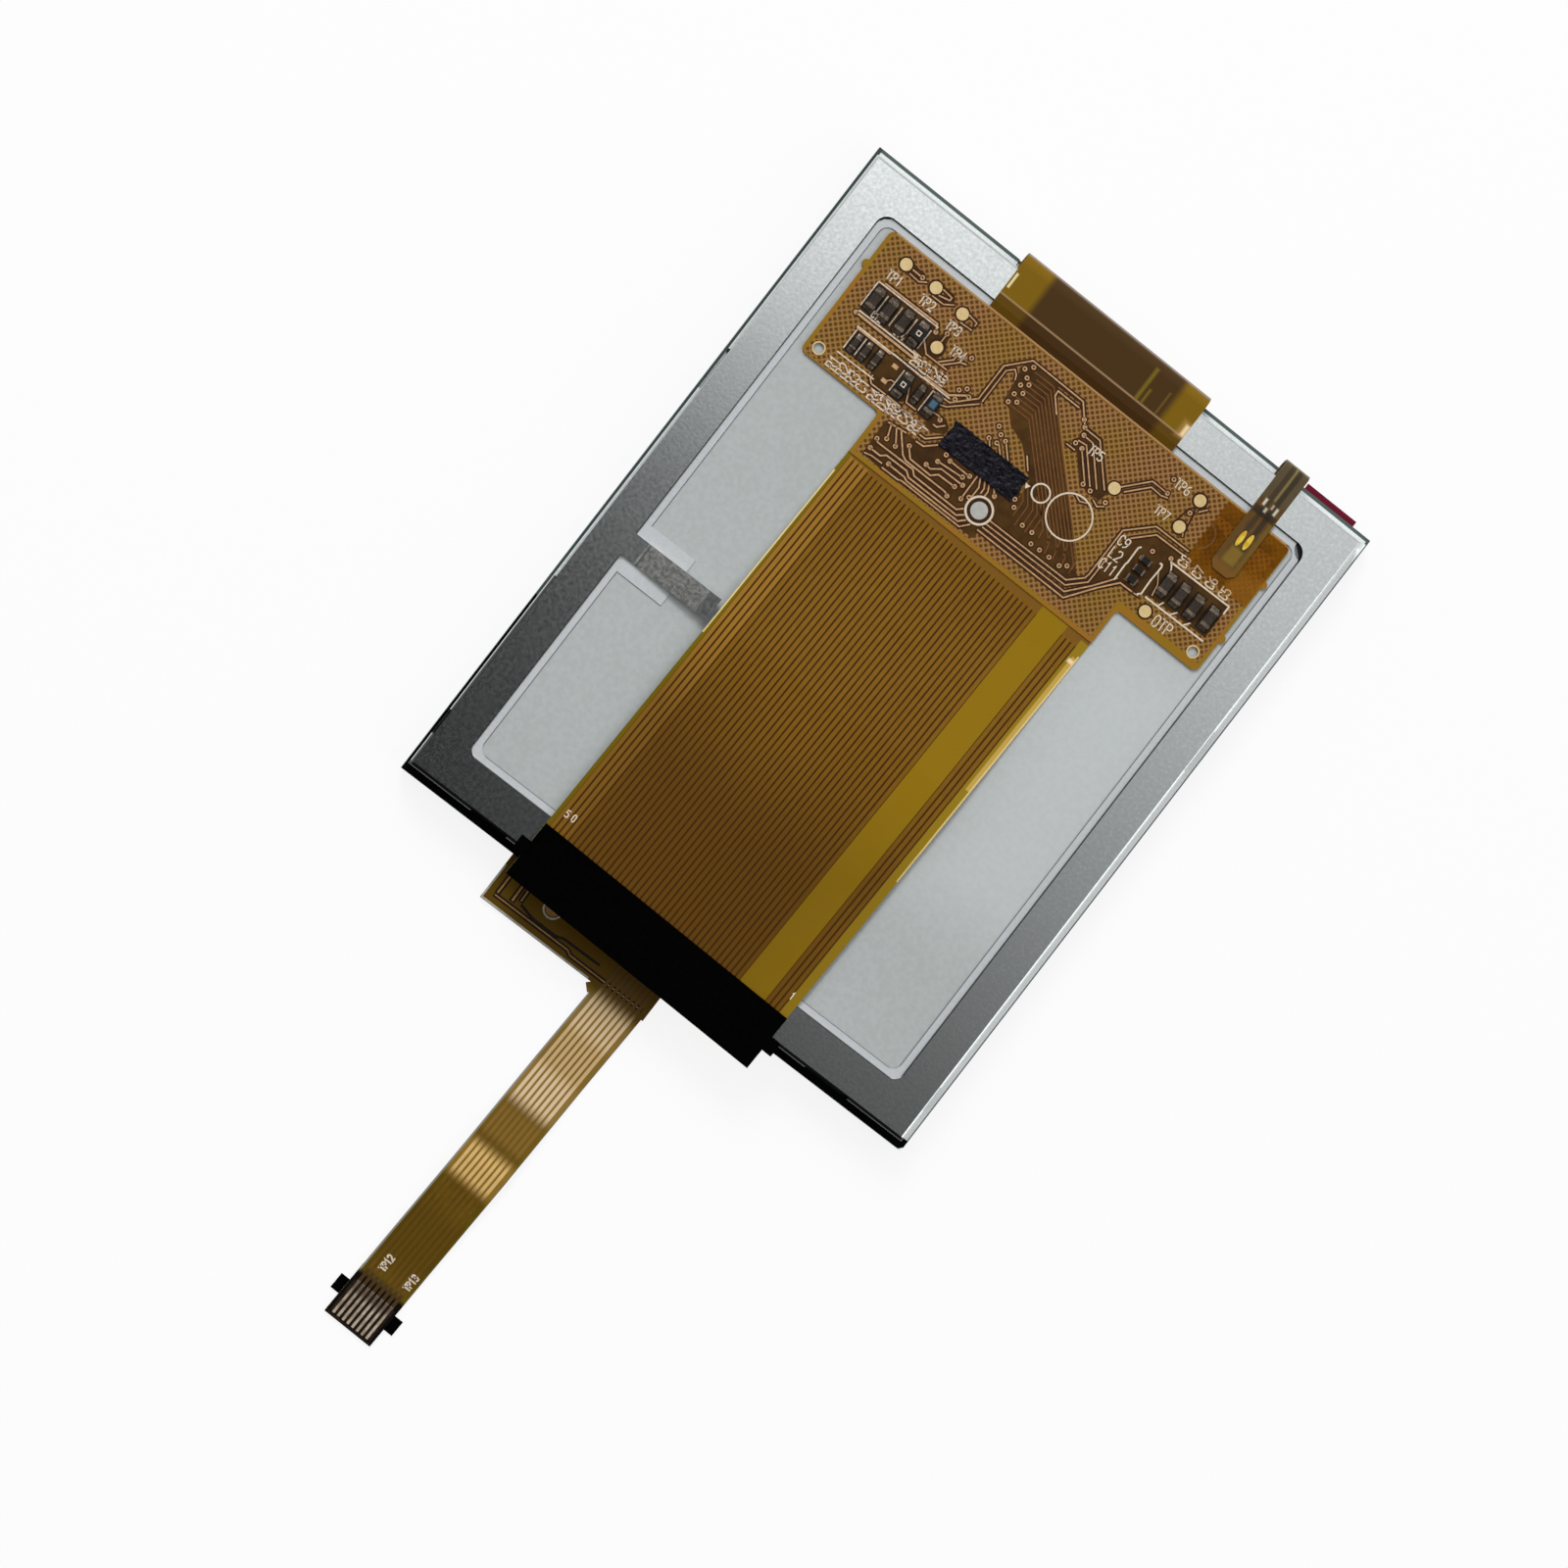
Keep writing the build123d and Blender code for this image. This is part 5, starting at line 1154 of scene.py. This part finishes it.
@dataclass
class MetalBack(Assembly):
    """The folded steel back, the white lip and the reflecting sheet in its window."""

    finishes: Dressing = (
        (Kind.STEEL, ("rear_frame",)),
        (Kind.WHITE_PLASTIC, ("backlight_housing",)),
        (Kind.WHITE_SHEET, ("reflector_sheet",)),
    )
    shadow_levels: Span = (3.9, 3.92)
    shadow_crescents: tuple[Path2, ...] = (
        ((20.6, 27.7), (21.3, 27.85), (22.3, 27.3), (22.5, 26.4), (22.3, 25.6), (21.95, 25.7), (21.86, 26.3),
         (21.6, 26.82), (21.15, 27.2)),
        ((-21.3, 27.9), (-22.1, 27.8), (-22.9, 27.2), (-22.9, 26.3), (-22.45, 26.4), (-22.36, 26.75),
         (-22.1, 27.15), (-21.7, 27.42)),
    )

    def add_corner_shadows(self) -> None:
        """Add thin black crescents in the window's top corners: painted shade in the corner gaps."""
        work = FlatWork(*self.shadow_levels)
        for outline in self.shadow_crescents:
            work.polygon(outline)
        self.lay("window_corner_shadows", work, Kind.BLACK_TAPE_AND_SHADE, "black_tape")


@dataclass
class Board(Assembly):
    """The printed circuit film with its conductors, print and parts."""

    finishes: Dressing = (
        (Kind.MAIN_FILM, ("main_flex",)),
        (Kind.CONDUCTOR, ("tail_conductors",)),
        (Kind.STIFFENER, ("tail_stiffener",)),
        (Kind.GOLD, ("tail_contacts",)),
        (Kind.PALE_GOLD, ("test_pads",)),
        (Kind.SILVER, ("locating_disc",)),
        (Kind.CERAMIC, ("chip_bodies", "small_chip_bodies")),
        (Kind.BLUE_CERAMIC, ("blue_resistor",)),
        (Kind.BLACK_EPOXY, ("diodes", "filter_parts")),
        (Kind.SOLDER, ("chip_terminals",)),
    )
    via_radius: float = 0.15
    via_band: float = 0.11
    via_gap: float = 0.17
    via_sides: int = 16
    gap_sides: int = 24
    hole_sides: int = 32
    gap_margin: float = 0.15
    layer: float = 0.00006
    chip_shade_margin: Span = (0.2, 0.42)
    chip_shade_start: float = 0.02
    chip_shade_taper: float = 0.08
    dim_drop: float = 0.003
    stroke: float = 0.105
    worn_spread: Span = (1.1, 1.15)
    hole_ring: Span = (0.5, 0.12)
    glue_top: float = 4.074
    glue_width: float = 0.12
    plain_rings: tuple[tuple[Point, float, float, int], ...] = (
        ((4.59, 17.54), 1.94, 0.14, 64), ((1.56, 17.61), 0.77, 0.14, 48), ((-1.57, 13.38), 1.13, 0.19, 48),
    )
    arrow: Path2 = ((0.04, 17.52), (0.56, 17.53), (0.3, 17.12))
    count_levels: Span = (4.28, 4.297)
    counts: tuple[tuple[str, Point, float, float], ...] = (
        ("5", (-13.15, -26.92), 0.6, 0.1), ("0", (-12.52, -26.9), 0.6, 0.1), ("1", (10.45, -27.5), 0.6, 0.11),
    )
    mark_levels: Span = (4.6, 4.628)
    mark_path: Path2 = ((-0.17, -0.17), (0.17, -0.17), (0.17, 0.17), (-0.17, 0.17), (-0.17, -0.2))
    mark_stroke: float = 0.09
    fillet_foot: Path2 = ((-0.05, 0.0), (0.34, 0.0), (0.34, 0.05), (0.22, 0.09), (0.12, 0.17))
    fillet_waist: Span = (0.05, 0.6)
    fillet_cuts: Path2 = ((-0.5, 0.82), (-0.38, 1.0), (0.38, 1.0), (0.5, 0.82))

    def add_bare_fields(self) -> None:
        """Add the darker fields without cross-hatch, the gaps beside conductors and painted shade round the
        chips' ends.
        """
        work = FlatWork(BOARD_TOP, BARE_TOP, self.layer)
        for outline in BARE_FIELDS:
            work.polygon(outline)
        self.lay("board_bare_fields", work, Kind.BARE, "amber_film")
        gaps = FlatWork(BOARD_TOP, work.high + self.layer, self.layer)
        for width, path in CONDUCTORS:
            gaps.ribbon(path, width + 2 * self.gap_margin)
        for path in PAD_LOOPS:
            gaps.ribbon(path, self.gap_margin)
        for centre, radius in (*((spot, self.via_radius + self.via_gap) for spot in VIAS), *PAD_GAPS):
            gaps.disc(centre, radius, self.gap_sides)
        self.lay("board_gaps", gaps, Kind.GAP, "amber_film")
        # Painted shade: near-black fields round each chip's ends, where shade falls beside the chips.
        chip_shade = FlatWork(BOARD_TOP, gaps.high)
        aside, beyond = self.chip_shade_margin
        for x, y, width, length, _ in SOLDERED_ENDS:
            for side in (1, -1):
                left, right = x - width / 2 - aside, x + width / 2 + aside
                near, far = y + side * self.chip_shade_start, y + side * (length / 2 + beyond)
                inset = self.chip_shade_taper
                chip_shade.polygon(((left, near), (right, near), (right - inset, far), (left + inset, far)))
            chip_shade.high += self.layer
        self.lay("board_chip_shade", chip_shade, Kind.DARK_FILM_AND_SHADE, "amber_film")

    def add_conductors(self) -> None:
        """Add the bright and the dim conductors and their small plated holes."""
        bright = FlatWork(BOARD_TOP, CONDUCTOR_TOP)
        for width, path in (*CONDUCTORS, *EMPTY_PADS):
            bright.ribbon(path, width)
        for spot in VIAS:
            bright.ring(spot, self.via_radius, self.via_band, self.via_sides)
        self.lay("board_conductors", bright, Kind.TRACE, "copper")
        dim = FlatWork(BOARD_TOP, CONDUCTOR_TOP - self.dim_drop)
        for width, path in DIM_CONDUCTORS:
            dim.ribbon(path, width)
        self.lay("board_dim_conductors", dim, Kind.DIM_TRACE, "copper")

    def add_print(self) -> None:
        """Add the white print: reference marks, brackets, part frames and plain rings."""
        worn = FlatWork(BOARD_TOP, PRINT_TOP)
        taller, broader = self.worn_spread
        for text, corner, height, angle in WORN_LABELS:
            worn.word(text, corner, height * taller, self.stroke * broader, angle)
        for width, path in WORN_LINES:
            worn.ribbon(path, width)
        self.lay("worn_board_print", worn, Kind.WORN_INK)
        plated = FlatWork(BOARD_TOP, CONDUCTOR_TOP)
        for centre in HOLES:
            plated.ring(centre, *self.hole_ring, self.hole_sides)
        self.lay("plated_hole_rings", plated, Kind.PALE_GOLD, "copper")
        glue = FlatWork(BOARD_TOP, self.glue_top)
        glue.ribbon(GLUE_EDGE, self.glue_width)
        self.lay("adhesive_edge", glue, Kind.DIM_TRACE)
        work = FlatWork(BOARD_TOP, PRINT_TOP)
        for text, corner, height, angle in LABELS:
            work.word(text, corner, height, self.stroke, angle)
        for width, path in PRINT_LINES:
            work.ribbon(path, width)
        for ring in self.plain_rings:
            work.ring(*ring)
        work.polygon(self.arrow)
        self.lay("board_print", work, Kind.INK)
        counts = FlatWork(*self.count_levels)
        for text, corner, height, stroke in self.counts:
            counts.word(text, corner, height, stroke, 0.0)
        self.lay("contact_counts", counts, Kind.INK)

    def add_diode_marks(self) -> None:
        """Add the small square that each diode carries on its top."""
        work = FlatWork(*self.mark_levels)
        for x, y in DIODES:
            work.ribbon([(x + across, y + along) for across, along in self.mark_path], self.mark_stroke)
        self.lay("diode_marks", work, Kind.INK)

    def add_solder(self) -> None:
        """Add the solder that climbs each chip's metal ends."""
        shaped = bmesh.new()
        for x, y, width, length, height in SOLDERED_ENDS:
            for side in (1, -1):
                self.joint(shaped, x, y + side * length / 2, width, height, side)
        self.smooth("solder_joints", shaped, Kind.SOLDER, "solder")

    def joint(
        self, shaped: bmesh.types.BMesh, x: float, y: float, width: float, height: float, side: int
    ) -> None:
        """Add one hollow fillet of solder.

        Args:
            shaped: The mesh being built.
            x: The middle of the chip's end.
            y: The chip's end face.
            width: The width of the joint.
            height: How far it climbs.
            side: 1 for the upper end, -1 for the lower one.
        """
        reach, share = self.fillet_waist
        behind = self.fillet_foot[0][0]
        profile = [*self.fillet_foot, (reach, height * share), (0.0, height), (behind, height)]
        rings = [
            [
                shaped.verts.new((
                    mm(x + across * width), mm(y + side * out * squeeze), mm(BOARD_TOP + up * squeeze),
                ))
                for out, up in profile
            ]
            for across, squeeze in self.fillet_cuts
        ]
        for first, second in zip(rings, rings[1:]):
            for i in range(len(profile)):
                j = (i + 1) % len(profile)
                quad = (first[i], first[j], second[j], second[i])
                shaped.faces.new(quad if side < 0 else tuple(reversed(quad)))
        shaped.faces.new(rings[0] if side > 0 else list(reversed(rings[0])))
        shaped.faces.new(rings[-1] if side < 0 else list(reversed(rings[-1])))


@dataclass
class InsulatingTape(Assembly):
    """The crinkled black tape over part of the board."""

    centre: Point = (-3.72, 16.75)
    width: float = 7.5
    length: float = 2.45
    columns: int = 110
    rows: int = 40
    thickness: float = 0.05
    relief: float = 0.16
    highest: float = 0.95
    creases: tuple[tuple[float, float, tuple[float, float, float]], ...] = (
        (1.0, 1.5, (0, 0, 0)), (0.6, 3.4, (5, 2, 1)), (0.35, 7.5, (1, 9, 4)),
    )
    ragged_side: float = 0.16
    ragged_end: float = 0.09

    def build(self) -> None:
        """Shape the tape with its creases and its torn outline."""
        shaped = bmesh.new()
        grid = [
            [shaped.verts.new(self.spot(row, column)) for column in range(self.columns + 1)]
            for row in range(self.rows + 1)
        ]
        for lower, upper in zip(grid, grid[1:]):
            for i in range(self.columns):
                shaped.faces.new((lower[i], lower[i + 1], upper[i + 1], upper[i]))
        skirt = bmesh.ops.extrude_edge_only(
            shaped, edges=[edge for edge in shaped.edges if edge.is_boundary]
        )
        for part in skirt["geom"]:
            if isinstance(part, bmesh.types.BMVert):
                part.co.z = mm(BOARD_TOP)
        bmesh.ops.holes_fill(shaped, edges=[edge for edge in shaped.edges if edge.is_boundary], sides=0)
        bmesh.ops.recalc_face_normals(shaped, faces=shaped.faces)
        piece = self.smooth("insulating_tape", shaped, Kind.CRINKLED, "black_tape")
        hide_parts("insulating_patch")

    def spot(self, row: int, column: int) -> Vector:
        """Give one point of the tape.

        Args:
            row: The point's row.
            column: The point's column.

        Returns:
            The point in metres.
        """
        across = (column / self.columns - 0.5) * self.width
        along = (row / self.rows - 0.5) * self.length
        seed = Vector((across, along, 3.7))
        folds = sum(
            share * abs(noise.noise(seed * scale + Vector(shift))) for share, scale, shift in self.creases
        )
        height = BOARD_TOP + self.thickness + self.relief * min(folds, self.highest)
        x = self.centre[0] + across
        y = self.centre[1] + along
        if row in (0, self.rows):
            y += self.ragged_end * noise.noise(Vector((across * 1.9, along, 8.1)))
        if column in (0, self.columns):
            x += self.ragged_side * noise.noise(Vector((along * 2.4, across, 2.2)))
        return Vector((mm(x), mm(y), mm(height)))


@dataclass
class LampSupply(Assembly):
    """The lamps' own film, its soldered joint and the amber tape under it."""

    finishes: Dressing = (
        (Kind.AMBER_TAPE, ("joint_tape",)),
        (Kind.LAMP_FILM, ("lamp_flex",)),
        (Kind.JOINT_GOLD, ("joint_pads",)),
    )


@dataclass
class TouchTail(Assembly):
    """The touch panel's circuit film with its eight conductors."""

    finishes: Dressing = (
        (Kind.TOUCH_FILM, ("touch_flex",)),
        (Kind.TOUCH_LINE, ("touch_conductors",)),
        (Kind.STIFFENER, ("touch_stiffener",)),
        (Kind.TOUCH_CONTACT, ("touch_contacts",)),
    )
    pitch: float = 0.5
    ways_aside: int = 4
    gap_levels: Span = (0.3, 0.325)
    gap_span: Span = (-35.9, -39.04)
    gap_width: float = 0.26
    end_along: float = -39.2
    end_half: float = 2.1
    end_width: float = 0.31
    block_base: float = 0.385
    block_line_top: float = 0.398
    block_gap_top: float = 0.392
    block_gap_rise: float = 0.0001
    block_gap_margin: float = 0.34
    block_slit: Path2 = ((-11.25, -34.88), (-9.91, -35.2), (-7.55, -35.2), (-6.76, -34.95), (-3.2, -34.9))
    slit_width: float = 0.24
    disc_centre: Point = (-9.0, -33.55)
    disc_radius: float = 0.62
    ring_radius: float = 0.8
    ring_width: float = 0.16
    edge_base: float = 0.38
    edge_top: float = 0.396
    ring_top: float = 0.4
    edge_path: Path2 = ((-14.31, -33.0), (-14.31, -36.28), (-3.3, -36.3))
    edge_width: float = 0.15
    mark_levels: Span = (0.31, 0.328)
    marks: tuple[tuple[str, Point, float, float, float], ...] = (
        ("TP12", (-1.76, -65.72), 0.6, 0.15, 89.0), ("TP13", (0.84, -65.85), 0.6, 0.15, 88.0),
    )

    def add_contact_gaps(self) -> None:
        """Add the dark film between the bare contacts and across their ends."""
        gaps = FlatWork(*self.gap_levels)
        for way in range(-self.ways_aside, self.ways_aside + 1):
            across = way * self.pitch
            path = [turned(TOUCH_ROOT, across, along, TOUCH_TURN) for along in self.gap_span]
            gaps.ribbon(path, self.gap_width)
        ends = (-self.end_half, self.end_half)
        path = [turned(TOUCH_ROOT, across, self.end_along, TOUCH_TURN) for across in ends]
        gaps.ribbon(path, self.end_width)
        self.lay("touch_contact_gaps", gaps, Kind.DARK_FILM_AND_SHADE, "amber_film")

    def add_block_lines(self) -> None:
        """Add the conductors, the ringed disc and the pale edges of the block by the glass."""
        bright = FlatWork(self.block_base, self.block_line_top)
        for width, path in BLOCK_LINES:
            bright.ribbon(path, width)
        bright.disc(self.disc_centre, self.disc_radius)
        self.lay("touch_block_lines", bright, Kind.BLOCK_LINE, "copper")
        dark = FlatWork(self.block_base, self.block_gap_top + self.block_gap_rise, self.block_gap_rise)
        for width, path in BLOCK_LINES:
            dark.ribbon(path, width + self.block_gap_margin)
        dark.ribbon(self.block_slit, self.slit_width)
        self.lay("touch_block_gap", dark, Kind.DARK_FILM_AND_SHADE, "amber_film")
        edge = FlatWork(self.edge_base, self.edge_top)
        edge.ribbon(self.edge_path, self.edge_width)
        self.lay("touch_block_edge", edge, Kind.FILM_EDGE)
        ring = FlatWork(self.edge_base, self.ring_top)
        ring.ring(self.disc_centre, self.ring_radius, self.ring_width)
        self.lay("touch_block_ring", ring, Kind.FILM_EDGE)
        marks = FlatWork(*self.mark_levels)
        for mark in self.marks:
            marks.word(*mark)
        self.lay("touch_marks", marks, Kind.WORN_INK)


@dataclass
class Studio:
    """The pale floor, the soft lamps and the sky."""

    floor_size: float = 3.0
    floor_level: float = 0.9
    floor_glow: float = 0.86
    sky_level: float = 0.72
    near_level: float = 0.14
    left_ramp: tuple[float, float, float, float] = (0.085, 0.243, 0.02, 1.5)
    right_ramp: tuple[float, float, float, float] = (-0.09, 0.31, 0.03, 0.93)
    middle: Span = (-0.02, 0.2)
    cap_edge: Span = (0.34, 0.6)
    near_side: Span = (-0.8, 0.2)
    lowest: float = 0.01
    lamps: tuple[tuple[str, tuple[float, float, float], float, float], ...] = (
        ("key_lamp", (-0.42, 0.55, 0.62), 0.35, 5.0), ("fill_lamp", (0.8, -0.1, 0.6), 0.7, 1.6),
    )

    def build_floor(self) -> None:
        """Add the floor that the module lies on, white to the camera but with its shadow."""
        mesh = bpy.data.meshes.new("floor")
        half = self.floor_size
        corners = [(-half, -half, 0), (half, -half, 0), (half, half, 0), (-half, half, 0)]
        mesh.from_pydata(corners, [], [(0, 1, 2, 3)])
        floor = bpy.data.objects.new("floor", mesh)
        bpy.context.scene.collection.objects.link(floor)
        material = bpy.data.materials.new("floor")
        material.use_nodes = True
        wiring = Wiring(material.node_tree)
        material.node_tree.nodes.remove(material.node_tree.nodes["Principled BSDF"])
        matt = wiring.node("ShaderNodeBsdfDiffuse", grey(self.floor_level))
        glow = wiring.node("ShaderNodeEmission")
        path = wiring.node("ShaderNodeLightPath")
        seen = wiring.math("MAXIMUM", path.outputs["Is Camera Ray"], path.outputs["Is Glossy Ray"])
        seen = wiring.math("MAXIMUM", seen, path.outputs["Is Transmission Ray"])
        share = wiring.math("MULTIPLY", seen, self.floor_glow)
        both = wiring.node("ShaderNodeMixShader", share, matt.outputs[0], glow.outputs[0])
        wiring.feed(both.outputs[0], material.node_tree.nodes["Material Output"].inputs["Surface"])
        mesh.materials.append(material)

    def build_sky(self) -> None:
        """Light the module from all round, with a cap overhead that fades to dark on one side."""
        world = bpy.data.worlds.new("studio")
        bpy.context.scene.world = world
        world.use_nodes = True
        wiring = Wiring(world.node_tree)
        where = wiring.node("ShaderNodeTexCoord")
        x, y, z = wiring.axes(where.outputs["Generated"])
        height = wiring.math("MAXIMUM", z, self.lowest)
        sideways = wiring.math("DIVIDE", x, height)
        forward = wiring.math("DIVIDE", y, height)
        ramps = [
            wiring.mix(wiring.step(forward, start, end), grey(dark), grey(bright))
            for start, end, dark, bright in (self.left_ramp, self.right_ramp)
        ]
        overhead = wiring.mix(wiring.step(sideways, *self.middle), *ramps)
        square = wiring.math("MULTIPLY_ADD", forward, forward, wiring.math("MULTIPLY", sideways, sideways))
        cap = wiring.step(wiring.math("SQRT", square), *self.cap_edge)
        around_it = wiring.mix(wiring.step(y, *self.near_side), grey(self.near_level), grey(self.sky_level))
        level = wiring.mix(cap, overhead, around_it)
        path = wiring.node("ShaderNodeLightPath")
        seen = wiring.mix(path.outputs["Is Camera Ray"], level, grey(1.0))
        wiring.feed(seen, world.node_tree.nodes["Background"].inputs["Color"])

    def build_lamp(self, name: str, spot: Sequence[float], size: float, power: float) -> None:
        """Add one soft square lamp that points at the module.

        Args:
            name: The lamp's name.
            spot: Its place in metres.
            size: The length of its side.
            power: Its power in watts.
        """
        lamp = bpy.data.lights.new(name, "AREA")
        lamp.size = size
        lamp.energy = power
        body = bpy.data.objects.new(name, lamp)
        bpy.context.scene.collection.objects.link(body)
        body.location = spot
        body.rotation_euler = (-Vector(spot)).to_track_quat("-Z", "Y").to_euler()

    def build(self) -> None:
        """Build the floor, the sky and the lamps."""
        self.build_floor()
        self.build_sky()
        for lamp in self.lamps:
            self.build_lamp(*lamp)
        bpy.context.scene.view_settings.view_transform = "Standard"


@dataclass
class PhotoCamera:
    """The camera, where the photograph was taken from."""

    place: tuple[float, float, float] = (-25.16, -26.45, 264.1)
    tilt: tuple[float, float, float] = (0.389, -5.222, 37.658)
    lens: float = 73.73
    sensor: float = 36.0
    shift: Point = (0.0565, 0.0627)
    nearest: float = 0.01

    def build(self) -> None:
        """Make the camera the scene's own."""
        made = bpy.data.cameras.new("photo_camera")
        made.lens = self.lens
        made.sensor_width = self.sensor
        made.shift_x, made.shift_y = self.shift
        made.clip_start = self.nearest
        body = bpy.data.objects.new("photo_camera", made)
        bpy.context.scene.collection.objects.link(body)
        turns = [Matrix.Rotation(math.radians(angle), 4, axis) for angle, axis in zip(self.tilt, "XYZ")]
        where = Matrix.Translation([mm(value) for value in self.place])
        body.matrix_world = where @ turns[0] @ turns[1] @ turns[2]
        bpy.context.scene.camera = body


def main() -> None:
    """Build the whole scene in order."""
    logging.basicConfig(level=logging.INFO, format="%(name)s: %(message)s")
    PhotoCamera().build()
    Studio().build()
    paints = Paints(ShaderKit())
    FrontStack(paints).dress()
    back = MetalBack(paints)
    back.dress()
    back.add_corner_shadows()
    board = Board(paints)
    board.dress()
    board.add_bare_fields()
    board.add_conductors()
    board.add_print()
    board.add_diode_marks()
    board.add_solder()
    InsulatingTape(paints).build()
    LampSupply(paints).dress()
    tail = TouchTail(paints)
    tail.dress()
    tail.add_contact_gaps()
    tail.add_block_lines()
    LOG.info("dressed %d solids", len(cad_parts))


if __name__ == "__main__":
    main()
